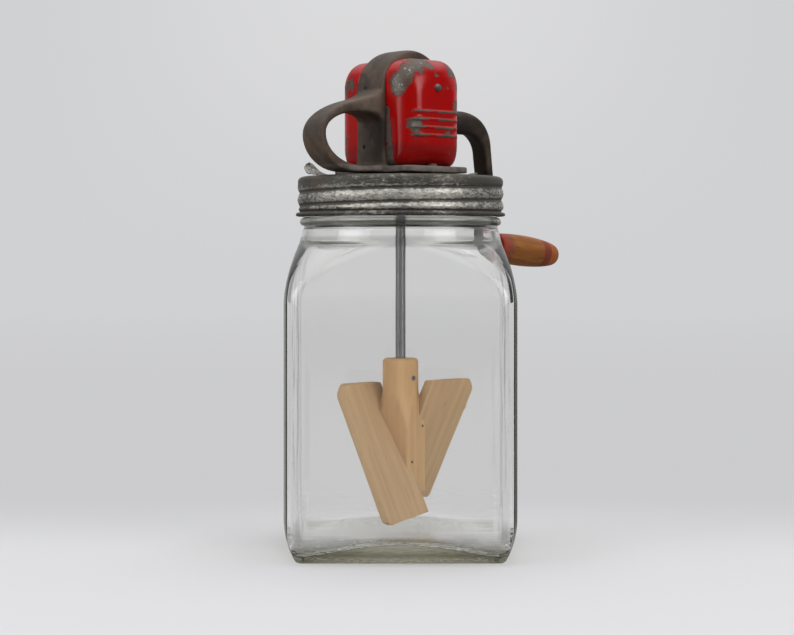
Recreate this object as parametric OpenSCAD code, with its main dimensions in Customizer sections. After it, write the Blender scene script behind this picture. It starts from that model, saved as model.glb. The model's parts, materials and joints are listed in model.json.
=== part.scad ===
// Glass jar butter churn: square glass jar, threaded metal lid, cast gear frame
// with two pressed covers, crank with turned knob, and a wooden dasher.
// Frame: origin at the middle of the jar's underside, +Z up, jar faces along X and Y.
// The top works is turned about Z by top_yaw; its local x is the crank axis.

/* [Jar] */
// Width across the flat faces of the jar
jar_w = 144; // [130:1:170]
// Radius of the jar's upright corners
jar_corner_r = 20; // [14:1:26]
// Thickness of the glass wall
jar_wall = 4; // [3:0.5:6]
// Thickness of the glass floor at the middle
jar_floor = 14; // [8:1:20]
// Drop of the floor in the jar's corners
floor_drop = 6; // [0:0.5:6]
// Height where the shoulder starts
shoulder_z = 160; // [140:1:170]
// Height where the shoulder meets the neck
neck_z = 207; // [200:1:215]
// Outside diameter of the neck
neck_d = 125; // [112:1:128]
// Height of the neck's straight part with its finish
neck_h = 29; // [24:1:40]
// Height of the heel curve
heel_h = 27; // [18:1:34]
// How far the foot is set in from the wall
heel_in = 7.5; // [4:0.5:10]
// Radius of the bead below the lid
neck_bead_r = 2.6; // [1.5:0.1:3]
// Fullness of the shoulder's corners
shoulder_full = 2.3; // [1.6:0.1:2.5]

/* [Lid] */
// Sheet thickness of the lid
lid_t = 1; // [0.6:0.1:1.4]
// Space between the neck and the inside of the lid
lid_gap = 1.6; // [1.2:0.1:3]
// Height of the rolled rings above the valleys
ring_rise = 1.3; // [0.6:0.1:1.4]
// Spacing of the rolled rings
ring_pitch = 8.5; // [7:0.25:9]
// Radius of the lid's upper edge
lid_edge_r = 3.2; // [2:0.1:4]
// Thickness of the sealing ring
gasket_t = 3; // [1.5:0.5:5]
// Diameter of the two vent holes
vent_d = 8; // [4:0.5:10]
// Distance of the vent holes from the axis
vent_r = 48; // [44:0.5:50]

/* [Vent shutter] */
// Sheet thickness of the shutter
shutter_t = 0.9; // [0.6:0.1:1.2]
// Width of the shutter strip
shutter_w = 17; // [13:0.5:18]
// Reach of the finger tab from the axis
tab_reach = 62; // [58:1:66]
// Reach of the plain end from the axis
tail_reach = 54; // [53:1:56]
// Height of the curled finger tab
tab_h = 9; // [5:0.5:12]
// Turn of the shutter about the upright axis with the vents open
shutter_yaw = 22; // [18:1:24]
// Turn that closes the vents
shutter_swing = 36; // [30:1:36]

/* [Gear frame] */
// Turn of the top works about the upright axis
top_yaw = 42; // [0:1:90]
// Gap between the lid and the base plate
plate_gap = 2.2; // [1.8:0.1:4]
// Length of the base plate along the crank axis
plate_l = 54; // [54:1:60]
// Width of the base plate across the crank axis
plate_w = 74; // [70:1:84]
// Thickness of the base plate
plate_t = 4; // [3:0.5:5]
// Outside width of the arch
arch_w = 53.5; // [52:0.5:60]
// Thickness of the arch legs
leg_t = 4.6; // [4:0.1:6]
// Thickness of the arch at its crown
crown_t = 8; // [7.5:0.5:10]
// Width of the arch band
band_w = 27; // [20:1:30]
// Height of the shaft above the base plate
shaft_rise = 31.5; // [31.5:0.1:34]
// Height of the arch top above the shaft
arch_rise = 44; // [43:0.5:48]
// Width of the holding loop's strap
loop_w = 17.5; // [12:0.5:20]
// Reach of the holding loop from the axis
loop_reach = 75; // [70:1:84]
// Thickness of the loop's strap at its outer end
loop_t = 4.9; // [4:0.1:7]

/* [Covers] */
// Length of each cover along the crank axis
cover_l = 50; // [48:0.5:52]
// Distance of the cover's face from the middle plane
cover_reach = 34.5; // [33.5:0.5:38]
// Gap between the cover's top and the top of the arch
cover_drop = 7; // [5:0.5:7.5]
// Sheet thickness of the covers
cover_t = 1; // [0.8:0.1:1.4]
// Radius of the cover's upright edges
cover_edge_r = 11; // [8:0.5:12]
// Radius of the cover's outline corners
cover_corner_r = 15; // [10:0.5:18]
// Number of pressed ribs on a cover
cover_ribs = 4; // [2:1:5]
// Spacing of the pressed ribs
rib_pitch = 5; // [4:0.5:9]
// Width of a pressed rib
rib_w = 2.4; // [2:0.1:3]

/* [Gears] */
// Tooth size at the large end
gear_module = 1.25; // [1.2:0.01:1.28]
// Teeth on the drive gear
gear_teeth = 48; // [48:4:48]
// Teeth on the pinion
pinion_teeth = 12; // [12:1:12]
// Tooth length along the cone
gear_face = 8; // [6:0.5:9]
// Play between the teeth at the pitch line
backlash = 0.2; // [0.15:0.01:0.3]

/* [Crank] */
// Diameter of the crank shaft
shaft_d = 9.5; // [8:0.5:10]
// Diameter of the crank's hub
crank_hub_d = 15.5; // [14.5:0.5:18]
// Reach of the arm's outer face where it hangs
arm_reach = 79; // [78:0.5:86]
// Throw of the crank from shaft to knob
crank_throw = 83; // [78:0.5:84]
// Width of the crank arm
arm_w = 14; // [10:0.5:16]
// Thickness of the arm at its lower end
arm_t = 5; // [4:0.5:6]
// Outward set of the arm's lower end
arm_flare = 15; // [14:0.5:18]
// Turn of the hanging crank from upright
crank_rest = 8; // [0:1:12]

/* [Knob] */
// Length of the knob
knob_l = 63; // [48:1:66]
// Largest diameter of the knob
knob_d = 21; // [18:0.5:22]
// Droop of the knob's axis
knob_droop = 5.5; // [0:0.5:6]
// Diameter of the knob spindle
spindle_d = 5; // [4:0.25:6]

/* [Dasher] */
// Turn of the dasher about the upright axis
dasher_yaw = 226; // [180:1:260]
// Diameter of the dasher rod
rod_d = 6.4; // [5:0.1:7]
// Height of the top of the dasher hub
hub_top_z = 123; // [110:1:130]
// Height of the bottom of the dasher hub
hub_bottom_z = 36; // [30:1:44]
// Diameter of the hub's turned top
hub_d = 23; // [20:0.5:26]
// Length of the hub's turned top
hub_turned_l = 21; // [16:1:26]
// Side of the hub's square block
block_w = 21; // [19:0.5:23]
// Reach of the paddles from the axis
paddle_reach = 40; // [36:0.5:46]
// Sideways set of both paddles
paddle_set = 3.5; // [0:0.5:4]
// Turn of the square block from the paddles
block_turn = 18; // [0:1:24]
// Thickness of a paddle measured level
paddle_t = 8; // [6:0.5:9]
// Height of the top of the paddles
paddle_top_z = 107; // [104:1:112]
// Height of the bottom of the paddles
paddle_bottom_z = 24; // [22:1:30]
// Slant of the paddles from upright
paddle_slant = 28; // [20:1:30]
// Depth of the grooves that hold the paddles
groove_depth = 5; // [3:0.5:6]
// Cut corner of the paddles
paddle_ear = 7; // [3:0.5:9]

/* [Fits] */
// Radial clearance of a turning fit
run_fit = 0.05; // [0.03:0.01:0.08]
// Radial clearance of a seated pin
seat_fit = 0.02; // [0.01:0.01:0.03]
// Gap between pieces that pass each other
pass_gap = 0.4; // [0.3:0.05:0.6]

/* [Hidden] */
$fn = 64;
eps = 0.01;
far = 400;

corner_steps = 8;
neck_ledge = 0.4;

// Heights of the stack above the jar
neck_r = neck_d / 2;
bore_r = neck_r - jar_wall;
rim_z = neck_z + neck_h;
lid_top_z = rim_z + gasket_t + lid_t;
lid_in_r = neck_r + lid_gap;
valley_r = lid_in_r + lid_t;
lid_flat_r = valley_r + ring_rise - lid_edge_r;
skirt_z1 = lid_top_z - lid_edge_r;
lip_h = 2.2;
lip_out = 2.6;
neck_bead_z = neck_z + neck_bead_r + 1.5;
lid_z0 = neck_bead_z + neck_bead_r + 1;
plate_z0 = lid_top_z + plate_gap;
plate_z1 = plate_z0 + plate_t;
shaft_z = plate_z1 + shaft_rise;
arch_z = shaft_z + arch_rise;
arch_r = arch_w / 2;
leg_in = arch_r - leg_t;
band_h = band_w / 2;

// Strip on the lid
shutter_hub_w = 6;
tab_r = 7;

// Rod guide below the base plate, which the shutter turns on
guide_r = rod_d / 2 + 5.3;
guide_depth = 10;
foot_n = plate_w / 2 - 7;
foot_l = 8;
foot_w = 8;
rivet_d = 4;
rivet_head_d = 7;
rivet_head_h = 1.6;

// Covers
cover_z1 = arch_z - cover_drop;
cover_h = cover_z1 - plate_z1;
boss_z = shaft_z + 18;
boss_d = 8;
screw_d = 4;
screw_head_d = 6;
rib_drop = 7.5;
rib_sink = 0.4;
screw_head_h = 2;

// Bevel gears share their apex on the shaft axis
gear_pitch_r = gear_module * gear_teeth / 2;
pinion_pitch_r = gear_module * pinion_teeth / 2;
cone_r = sqrt(pow(gear_pitch_r, 2) + pow(pinion_pitch_r, 2));
gear_cone = atan(gear_teeth / pinion_teeth);
pinion_cone = 90 - gear_cone;
small_end = (cone_r - gear_face) / cone_r;
pressure = 20;
gear_add = 0.55 * gear_module;
gear_ded = 1.05 * gear_module;
pinion_add = 0.8 * gear_module;
pinion_ded = 0.8 * gear_module;
gear_web = 4;
gear_hub_d = shaft_d + 9;
gear_hub_end = leg_in - pass_gap - 2.5;
pin_d = 3;

// Crank, in the plane of the crank axis
hub_start = arch_r + 1.4;
hub_end = arm_reach - 23;
bend_r = 27;
bend_u = arm_reach - bend_r;
bend_z = shaft_z + crank_hub_d / 2 - bend_r;
bend_in_r = 18;
bend_in_u = arm_reach - arm_t - bend_in_r;
bend_in_z = shaft_z - crank_hub_d / 2 - bend_in_r;
knob_z = shaft_z - crank_throw;
eye_u = arm_reach + arm_flare;
eye_d = 15;
spindle_head_d = spindle_d + 4;
spindle_head_h = 2;
knob_gap = 1.2;

// Dasher
thrust_t = 0.8;
pinion_z0 = plate_z1 + thrust_t + run_fit;
rod_top_z = shaft_z - cone_r * cos(pinion_cone) * small_end + 1.5;
rod_bottom_z = hub_bottom_z + 22;
pinion_hub_d = rod_d + 3.4;
dasher_pin_z = hub_top_z - 12.5;
dasher_pin_d = 3;
nail_d = 2.4;
nail_l = 16;
paddle_mid_z = (paddle_top_z + paddle_bottom_z) / 2;
nail_zs = [paddle_mid_z - 0.36 * block_w, paddle_mid_z + 0.5 * block_w];

glass = [0.80, 0.84, 0.78, 0.45];
tin = [0.52, 0.52, 0.48];
iron = [0.20, 0.17, 0.15];
red = [0.62, 0.08, 0.06];
steel = [0.55, 0.55, 0.56];
wood = [0.80, 0.62, 0.38];
knob_wood = [0.70, 0.40, 0.18];
rubber = [0.75, 0.35, 0.22];

// Shared shapes

module top_works() {
    rotate([0, 0, top_yaw]) children();
}

module dasher_frame() {
    rotate([0, 0, dasher_yaw]) children();
}

// Crank arm and knob turned about the shaft to where they hang
module hanging() {
    translate([0, 0, shaft_z]) rotate([crank_rest, 0, 0]) translate([0, 0, -shaft_z]) children();
}

// Cylinder along x from u0 to u1
module along_u(d, u0, u1) {
    translate([u0, 0, 0]) rotate([0, 90, 0]) cylinder(d = d, h = u1 - u0);
}

// Cylinder along y from y0 to y1
module along_y(d, y0, y1) {
    translate([0, y0, 0]) rotate([-90, 0, 0]) cylinder(d = d, h = y1 - y0);
}

// Profile drawn in x and z, thick along y and centred on it
module upright(thick) {
    rotate([90, 0, 0]) translate([0, 0, -thick / 2]) linear_extrude(thick) children();
}

module ring(d_out, d_in, h) {
    difference() {
        cylinder(d = d_out, h = h);
        translate([0, 0, -1]) cylinder(d = d_in, h = h + 2);
    }
}

// Rectangle with round corners, centred
module round_rect(w, h, r) {
    square([w - 2 * r, h], center = true);
    square([w, h - 2 * r], center = true);
    for (sx = [-1, 1])
        for (sy = [-1, 1])
            translate([sx * (w / 2 - r), sy * (h / 2 - r)]) circle(r);
}

function bezier(a, b, c, d, steps) = [
    for (i = [0 : steps]) let (t = i / steps, s = 1 - t)
        s * s * s * a + 3 * s * s * t * b + 3 * s * t * t * c + t * t * t * d
];

// Jar

// Half width of the body at height z, drawn in by inset
function body_half(z, inset) = let (
    half = jar_w / 2 - inset,
    top = neck_r + neck_ledge - inset,
    t = max(0, (z - shoulder_z) / (neck_z - shoulder_z)),
    h = max(0, (heel_h - z) / heel_h)
) half - (half - top) * pow(t, 1.5) - heel_in * h * h;

// Reach of the body's corner from the axis at height z, drawn in by inset
function corner_reach(z, inset) = let (
    half = jar_w / 2 - inset,
    top = neck_r + neck_ledge - inset,
    wide = half * sqrt(2) - (jar_corner_r - inset) * (sqrt(2) - 1),
    t = max(0, (z - shoulder_z) / (neck_z - shoulder_z)),
    h = max(0, (heel_h - z) / heel_h)
) top + (wide - top) * pow(1 - pow(t, shoulder_full), 0.6) - 1.9 * heel_in * h * h;

// Level outline of the body: four straight sides and four corner arcs
function body_ring(z, inset) = let (
    half = body_half(z, inset),
    reach = corner_reach(z, inset),
    r = min(half - 0.5, (half * sqrt(2) - reach) / (sqrt(2) - 1))
) [
    for (q = [0 : 3])
        for (i = [0 : corner_steps]) let (a = 90 * q + 90 * i / corner_steps)
            [
                (half - r) * sqrt(2) * cos(90 * q + 45) + r * cos(a),
                (half - r) * sqrt(2) * sin(90 * q + 45) + r * sin(a),
                z
            ]
];

function body_levels(z0, z1) = concat(
    [for (i = [0 : 5]) z0 + (heel_h - z0) * i / 5],
    [for (i = [0 : 9]) shoulder_z + (z1 - shoulder_z) * (1 - pow(1 - i / 9, 1.6))]
);

// Solid skinned over level rings with the same number of points
module skinned(rings) {
    n = len(rings[0]);
    m = len(rings);
    points = [for (ring = rings) each ring];
    bottom = [[for (i = [0 : n - 1]) i]];
    top = [[for (i = [n - 1 : -1 : 0]) (m - 1) * n + i]];
    sides = [
        for (k = [0 : m - 2])
            for (i = [0 : n - 1]) let (j = (i + 1) % n, a = k * n, b = a + n)
                each [[a + i, b + i, b + j], [a + i, b + j, a + j]]
    ];
    polyhedron(points, concat(bottom, sides, top));
}

// Body of the jar drawn in from the outside by inset, from z0 to z1
module jar_body(inset, z0, z1) {
    skinned([for (z = body_levels(z0, z1)) body_ring(z, inset)]);
}

// Floor rising from the corners to its flat middle
module jar_floor_rise() {
    low = jar_floor - floor_drop;
    flat_r = jar_w / 2 - jar_wall - heel_in;
    rotate_extrude($fn = 120) polygon([
        [0, low - 1], [jar_w, low - 1], [jar_w * 0.7, low], [flat_r, jar_floor], [0, jar_floor]
    ]);
}

module jar() {
    color(glass) difference() {
        union() {
            jar_body(0, 0, neck_z);
            translate([0, 0, neck_z - 5]) cylinder(r = neck_r, h = neck_h + 5);
            rotate_extrude($fn = 120) translate([neck_r, neck_bead_z])
                circle(neck_bead_r);
        }
        difference() {
            jar_body(jar_wall, jar_floor - floor_drop, neck_z);
            jar_floor_rise();
        }
        translate([0, 0, neck_z - 5]) cylinder(r = bore_r, h = neck_h + 6);
    }
}

// Lid

module lid_gasket() {
    color(rubber) translate([0, 0, rim_z]) ring(neck_d, 2 * bore_r + 2, gasket_t);
}

// Radius of the lid's skirt at height z, waved into rolled rings
function skirt_r(z) = valley_r + ring_rise * (1 + cos(360 * (skirt_z1 - z) / ring_pitch)) / 2;

// Half section of the lid: top, upper edge, ringed skirt and turned-out lip
module lid_section() {
    steps = 24;
    skirt_z0 = lid_z0 + lip_h;
    levels = [for (i = [0 : steps]) skirt_z1 + (skirt_z0 - skirt_z1) * i / steps];
    edge = [for (a = [90 : -15 : 15]) [cos(a), sin(a)]];
    outer = concat(
        [[0, lid_top_z]],
        [for (e = edge) [lid_flat_r, skirt_z1] + lid_edge_r * e],
        [for (z = levels) [skirt_r(z), z]],
        [[valley_r + lip_out, lid_z0 + lip_h * 0.7], [valley_r + lip_out, lid_z0]]
    );
    inner = concat(
        [[0, lid_top_z - lid_t]],
        [for (e = edge) [lid_flat_r, skirt_z1] + (lid_edge_r - lid_t) * e],
        [for (z = levels) [skirt_r(z) - lid_t, z]],
        [[lid_in_r, lid_z0]]
    );
    polygon(concat(outer, [for (i = [len(inner) - 1 : -1 : 0]) inner[i]]));
}

module vent_holes(d) {
    rotate([0, 0, shutter_yaw - shutter_swing]) for (side = [-1, 1])
        translate([side * vent_r, 0, rim_z]) cylinder(d = d, h = far);
}

module at_feet() {
    for (side = [-1, 1])
        translate([0, side * foot_n, 0]) children();
}

module screw_lid() {
    color(tin) difference() {
        rotate_extrude($fn = 120) lid_section();
        translate([0, 0, rim_z]) cylinder(r = guide_r + pass_gap, h = far);
        vent_holes(vent_d);
        top_works() at_feet() translate([0, 0, rim_z]) cylinder(d = rivet_d + 2 * seat_fit, h = far);
    }
}

// Strip that turns on the rod guide between the lid and the base plate
module vent_shutter() {
    z0 = lid_top_z + pass_gap;
    color(tin) rotate([0, 0, shutter_yaw]) difference() {
        union() {
            translate([0, 0, z0]) linear_extrude(shutter_t) {
                translate([-tab_reach + tab_r, -shutter_w / 2])
                    square([tab_reach - tab_r + tail_reach - shutter_w / 2, shutter_w]);
                translate([tail_reach - shutter_w / 2, 0]) circle(d = shutter_w);
                circle(r = guide_r + shutter_hub_w);
            }
            translate([-tab_reach + tab_r, 0, z0 + tab_r]) upright(shutter_w) difference() {
                intersection() {
                    circle(tab_r);
                    translate([-tab_r, -tab_r]) square([tab_r, tab_h]);
                }
                circle(tab_r - shutter_t);
            }
        }
        cylinder(r = guide_r + run_fit, h = far);
    }
}

// Gear frame

// Outline of the arch in the plane of the crank axis
module arch_outline(half, top) {
    translate([0, top - half]) circle(half, $fn = 96);
    translate([-half, plate_z1 - eps]) square([2 * half, top - half - plate_z1 + eps]);
}

// Holding loop as a strap between two drawn curves
module loop_outline() {
    low = plate_z0;
    top = shaft_z + 13;
    in_reach = loop_reach - loop_t;
    mid = shaft_z - 13;
    outer = concat(
        bezier([-leg_in, top], [-0.61 * loop_reach, top - 1], [-loop_reach, top - 12], [-loop_reach, mid], 14),
        bezier([-loop_reach, mid], [-loop_reach, mid - 11], [-0.85 * loop_reach, low], [-0.66 * loop_reach, low], 14)
    );
    inner = concat(
        bezier([-leg_in, top - 9], [-0.71 * in_reach, top - 9], [-in_reach, top - 15], [-in_reach, mid + 1], 14),
        bezier([-in_reach, mid + 1], [-in_reach, mid - 9], [-0.83 * in_reach, plate_z1], [-0.57 * in_reach, plate_z1], 14)
    );
    polygon(concat(outer, [[-leg_in, low], [-leg_in, plate_z1]], [
        for (i = [len(inner) - 1 : -1 : 0]) inner[i]
    ]));
}

module gear_frame() {
    color(iron) top_works() difference() {
        union() {
            translate([0, 0, plate_z0]) linear_extrude(plate_t) round_rect(plate_l, plate_w, 12);
            upright(band_w) difference() {
                arch_outline(arch_r, arch_z);
                arch_outline(leg_in, arch_z - crown_t);
            }
            upright(loop_w) loop_outline();
            translate([0, 0, plate_z0 - guide_depth]) cylinder(r = guide_r, h = guide_depth + 1);
            at_feet() translate([-foot_l / 2, -foot_w / 2, lid_top_z])
                cube([foot_l, foot_w, plate_gap + 1]);
            translate([0, 0, shaft_z]) {
                along_u(shaft_d + 8, -leg_in - 1, -leg_in + 4);
                along_u(shaft_d + 8, leg_in - 2, arch_r + 1);
            }
            translate([-boss_d / 2, -band_h + 4, boss_z]) cube([boss_d, band_w - 8, arch_z - crown_t - boss_z + 1]);
            translate([0, 0, boss_z]) along_y(boss_d, -cover_reach + cover_t, cover_reach - cover_t);
        }
        translate([0, 0, plate_z0 - guide_depth - 1])
            cylinder(d = rod_d + 2 * run_fit, h = guide_depth + plate_t + 2);
        translate([0, 0, shaft_z]) along_u(shaft_d + 2 * run_fit, -arch_r + 1.5, far);
        at_feet() translate([0, 0, lid_top_z - 1])
            cylinder(d = rivet_d + 2 * seat_fit, h = plate_gap + plate_t + 2);
        for (side = [-1, 1])
            translate([0, 0, boss_z]) rotate([0, 0, side * 90 - 90])
                along_y(screw_d + 2 * seat_fit, band_h - 2, far);
    }
}

module frame_rivets() {
    z0 = rim_z + gasket_t - rivet_head_h;
    color(steel) top_works() at_feet() {
        translate([0, 0, z0]) cylinder(d = rivet_d, h = plate_z1 - z0 + rivet_head_h);
        translate([0, 0, z0]) cylinder(d = rivet_head_d, h = rivet_head_h);
        translate([0, 0, plate_z1]) cylinder(d1 = rivet_head_d, d2 = rivet_head_d - 2, h = rivet_head_h);
    }
}

// Covers

// Solid of one cover, drawn in by t, with its open side towards the band
module cover_solid(t) {
    mid_z = plate_z1 + cover_h / 2;
    reach = cover_reach - t;
    intersection() {
        translate([0, 0, mid_z]) upright(2 * reach)
            round_rect(cover_l - 2 * t, cover_h - 2 * t, cover_corner_r - t);
        translate([0, 0, plate_z1 - 1]) linear_extrude(cover_h + 2)
            round_rect(cover_l - 2 * t, 2 * reach, cover_edge_r - t);
        translate([0, 0, mid_z]) rotate([0, 0, 90]) upright(cover_l + 2)
            round_rect(2 * reach, cover_h - 2 * t, cover_corner_r - 1 - t);
        translate([-far / 2, -far, plate_z1 - 1]) cube([far, far - band_h + (t > 0 ? 1 : 0), cover_h + 2]);
    }
}

module cover_ribs_row() {
    z0 = plate_z1 + cover_h / 2 - rib_drop - (cover_ribs - 1) * rib_pitch / 2;
    rib_l = cover_l - 2 * cover_edge_r + 8;
    for (i = [0 : cover_ribs - 1])
        translate([0, -cover_reach + rib_sink, z0 + i * rib_pitch])
            along_u(rib_w, -rib_l / 2, rib_l / 2);
}

module cover() {
    difference() {
        union() {
            cover_solid(0);
            cover_ribs_row();
        }
        cover_solid(cover_t);
        translate([0, 0, boss_z]) along_y(screw_d + 2 * seat_fit, -far / 2, 0);
        translate([0, 0, boss_z]) along_y(boss_d + 2 * seat_fit, -cover_reach + cover_t, 0);
    }
}

module front_cover() {
    color(red) top_works() cover();
}

module rear_cover() {
    color(red) top_works() rotate([0, 0, 180]) cover();
}

module cover_screws() {
    color(steel) top_works() for (turn = [0, 180])
        rotate([0, 0, turn]) translate([0, 0, boss_z]) {
            along_y(screw_d, -cover_reach - eps, -band_h + 1);
            along_y(screw_head_d, -cover_reach - screw_head_h, -cover_reach);
        }
}

// Crank shaft and drive gear

module crank_shaft() {
    color(steel) top_works() difference() {
        translate([0, 0, shaft_z]) along_u(shaft_d, -arch_r + 2, hub_end - 4);
        gear_pin_hole(pin_d + 2 * seat_fit);
        hanging() arm_pin_hole(pin_d + 2 * seat_fit);
    }
}

module gear_pin_hole(d) {
    u = (pinion_pitch_r + gear_web + gear_hub_end) / 2 + 1;
    translate([u, 0, shaft_z]) along_y(d, -gear_hub_d / 2, gear_hub_d / 2);
}

module arm_pin_hole(d) {
    translate([(hub_start + hub_end) / 2 - 4, 0, shaft_z])
        along_y(d, -crank_hub_d / 2, crank_hub_d / 2);
}

module shaft_washer() {
    color(steel) top_works() translate([0, 0, shaft_z]) difference() {
        along_u(crank_hub_d - 1, arch_r + 1, hub_start - pass_gap / 4);
        along_u(shaft_d + 2 * run_fit, 0, far);
    }
}

function inv(a) = tan(a) * 180 / PI - a;

// Half thickness of a tooth, as an arc, at height h above the pitch cone
function rack_half(h) = PI * gear_module / 4 - backlash / 4 - h * tan(pressure);

function involute_half(h, rv) = let (
    base = rv * cos(pressure),
    rho = max(rv + h, base + 0.001),
    a = acos(base / rho)
) (rv + h) * PI / 180 * ((PI * gear_module / 4 - backlash / 4) / rv * 180 / PI + inv(pressure) - inv(a));

// One point of a bevel tooth: h above the pitch cone, turned by half arc w, at scale k
function tooth_point(h, w, k, cone, turn) = let (
    r = cone_r * sin(cone) + h * cos(cone),
    z = cone_r * cos(cone) - h * sin(cone),
    a = turn + w / r * 180 / PI
) k * [r * cos(a), r * sin(a), z];

// Toothed ring of a bevel gear, its apex at the origin and its axis along z
module bevel_ring(teeth, cone, flank, back) {
    per = 2 * len(flank);
    n = teeth * per;
    outline = [
        for (i = [0 : teeth - 1]) each concat(
            [for (f = flank) [f[0], -f[1], 360 * i / teeth]],
            [for (j = [len(flank) - 1 : -1 : 0]) [flank[j][0], flank[j][1], 360 * i / teeth]]
        )
    ];
    large = [for (p = outline) tooth_point(p[0], p[1], 1, cone, p[2])];
    small = [for (p = outline) tooth_point(p[0], p[1], small_end, cone, p[2])];
    centre_large = [0, 0, cone_r * cos(cone) + back];
    centre_small = [0, 0, cone_r * cos(cone) * small_end];
    points = concat(large, small, [centre_large, centre_small]);
    faces = [
        for (i = [0 : n - 1]) let (j = (i + 1) % n) each [
            [i, j, n + j], [i, n + j, n + i],
            [2 * n, j, i], [2 * n + 1, n + i, n + j]
        ]
    ];
    polyhedron(points, faces);
}

gear_flank = [
    for (h = [-gear_ded, gear_add]) [h, rack_half(h)]
];

pinion_virtual_r = cone_r * tan(pinion_cone);
pinion_steps = 4;
pinion_flank = [
    for (i = [0 : pinion_steps])
        let (h = -pinion_ded + (pinion_add + pinion_ded) * i / pinion_steps)
            [h, involute_half(h, pinion_virtual_r)]
];

module drive_gear() {
    color(iron) top_works() difference() {
        translate([0, 0, shaft_z]) union() {
            rotate([0, 90, 0]) rotate([0, 0, 180 / gear_teeth])
                bevel_ring(gear_teeth, gear_cone, gear_flank, gear_web);
            along_u(gear_hub_d, pinion_pitch_r + 1, gear_hub_end);
        }
        translate([0, 0, shaft_z]) along_u(shaft_d + 2 * seat_fit, -far, far);
        gear_pin_hole(pin_d + 2 * seat_fit);
    }
}

module drive_gear_pin() {
    color(steel) top_works() gear_pin_hole(pin_d);
}

// Crank arm and knob

module arm_outline() {
    intersection() {
        difference() {
            translate([bend_u, bend_z]) circle(bend_r, $fn = 96);
            translate([bend_in_u, bend_in_z]) circle(bend_in_r, $fn = 96);
        }
        translate([bend_u - 6, bend_in_z]) square([far, far]);
    }
    polygon([
        [arm_reach - arm_t, bend_in_z], [arm_reach - arm_t, bend_in_z + 3],
        [arm_reach - 0.1, bend_in_z + 3], [arm_reach, bend_in_z],
        [eye_u + arm_t / 2, knob_z], [eye_u - arm_t / 2, knob_z]
    ]);
}

module at_knob() {
    translate([eye_u, 0, knob_z]) rotate([0, knob_droop, 0]) children();
}

module crank_arm() {
    color(iron) top_works() hanging() difference() {
        union() {
            translate([0, 0, shaft_z]) along_u(crank_hub_d, hub_start, hub_end);
            upright(arm_w) arm_outline();
            at_knob() along_u(eye_d, -arm_t / 2, arm_t / 2);
        }
        translate([0, 0, shaft_z]) along_u(shaft_d + 2 * seat_fit, 0, hub_end - 4);
        at_knob() {
            along_u(spindle_d + 2 * seat_fit, -20, 20);
            along_u(eye_d, -20, -arm_t / 2);
            along_u(eye_d, arm_t / 2, 20);
        }
        arm_pin_hole(pin_d + 2 * seat_fit);
    }
}

module crank_arm_pin() {
    color(steel) top_works() hanging() arm_pin_hole(pin_d);
}

module knob_spindle() {
    end = arm_t / 2 + knob_gap + knob_l - 1;
    color(steel) top_works() hanging() at_knob() {
        along_u(spindle_d, -arm_t / 2 - 1.5, end);
        along_u(spindle_head_d, -arm_t / 2 - 1.5, -arm_t / 2);
        along_u(spindle_head_d, end - spindle_head_h, end);
    }
}

module knob_washer() {
    color(steel) top_works() hanging() at_knob() difference() {
        along_u(knob_d * 0.7, arm_t / 2, arm_t / 2 + knob_gap - pass_gap);
        along_u(spindle_d + 2 * run_fit, -20, 20);
    }
}

// Half section of the turned knob, its axis along y
module knob_section() {
    r = knob_d / 2;
    polygon(concat(
        [[0, 0], [r * 0.9, 0], [r * 0.97, 1.5]],
        bezier([r, 5], [r * 1.02, knob_l * 0.4], [r * 0.98, knob_l * 0.7], [r * 0.8, knob_l * 0.9], 10),
        bezier([r * 0.76, knob_l * 0.94], [r * 0.68, knob_l * 0.985], [r * 0.55, knob_l], [r * 0.5, knob_l], 5),
        [[0, knob_l]]
    ));
}

module crank_knob() {
    u0 = arm_t / 2 + knob_gap;
    color(knob_wood) top_works() hanging() at_knob() difference() {
        translate([u0, 0, 0]) rotate([0, 90, 0]) rotate_extrude() knob_section();
        along_u(spindle_d + 2 * run_fit, -20, far);
        along_u(spindle_head_d + 2 * pass_gap, u0 + knob_l - 1 - spindle_head_h - pass_gap, far);
    }
}

// Pinion and dasher

module pinion_pin_hole(d) {
    translate([0, 0, pinion_z0 + 2.4]) along_y(d, -pinion_hub_d / 2, pinion_hub_d / 2);
}

module pinion() {
    large_z = shaft_z - cone_r * cos(pinion_cone);
    color(steel) top_works() difference() {
        union() {
            translate([0, 0, shaft_z]) rotate([180, 0, 0])
                bevel_ring(pinion_teeth, pinion_cone, pinion_flank, 0);
            translate([0, 0, pinion_z0]) cylinder(d = pinion_hub_d, h = large_z - pinion_z0 + 1);
        }
        cylinder(d = rod_d + 2 * seat_fit, h = far);
        pinion_pin_hole(pin_d * 0.6 + 2 * seat_fit);
    }
}

module pinion_pin() {
    color(steel) top_works() pinion_pin_hole(pin_d * 0.6);
}

module thrust_washer() {
    color(steel) translate([0, 0, plate_z1]) ring(pinion_hub_d + 6, rod_d + 4 * run_fit, thrust_t);
}

module dasher_rod() {
    color(steel) difference() {
        translate([0, 0, rod_bottom_z]) cylinder(d = rod_d, h = rod_top_z - rod_bottom_z);
        top_works() pinion_pin_hole(pin_d * 0.6 + 2 * seat_fit);
        dasher_pin_hole(dasher_pin_d + 2 * seat_fit);
    }
}

module dasher_pin_hole(d) {
    dasher_frame() translate([0, 0, dasher_pin_z]) along_y(d, -hub_d / 2 - 0.5, hub_d / 2 + 0.5);
}

// Slanted slab of one paddle in the dasher's frame, set sideways and widened by extra
module paddle_slab(set, extra) {
    rise = (paddle_top_z - paddle_bottom_z) / 2;
    shift = rise * tan(paddle_slant);
    half = paddle_t / 2 + extra;
    u0 = block_w / 2 - groove_depth - extra;
    rotate([0, 0, 90]) translate([set, -(u0 + paddle_reach) / 2, paddle_mid_z])
        upright(paddle_reach - u0) polygon([
            [shift - half, -rise], [shift + half, -rise], [half - shift, rise], [-shift - half, rise]
        ]);
}

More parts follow.
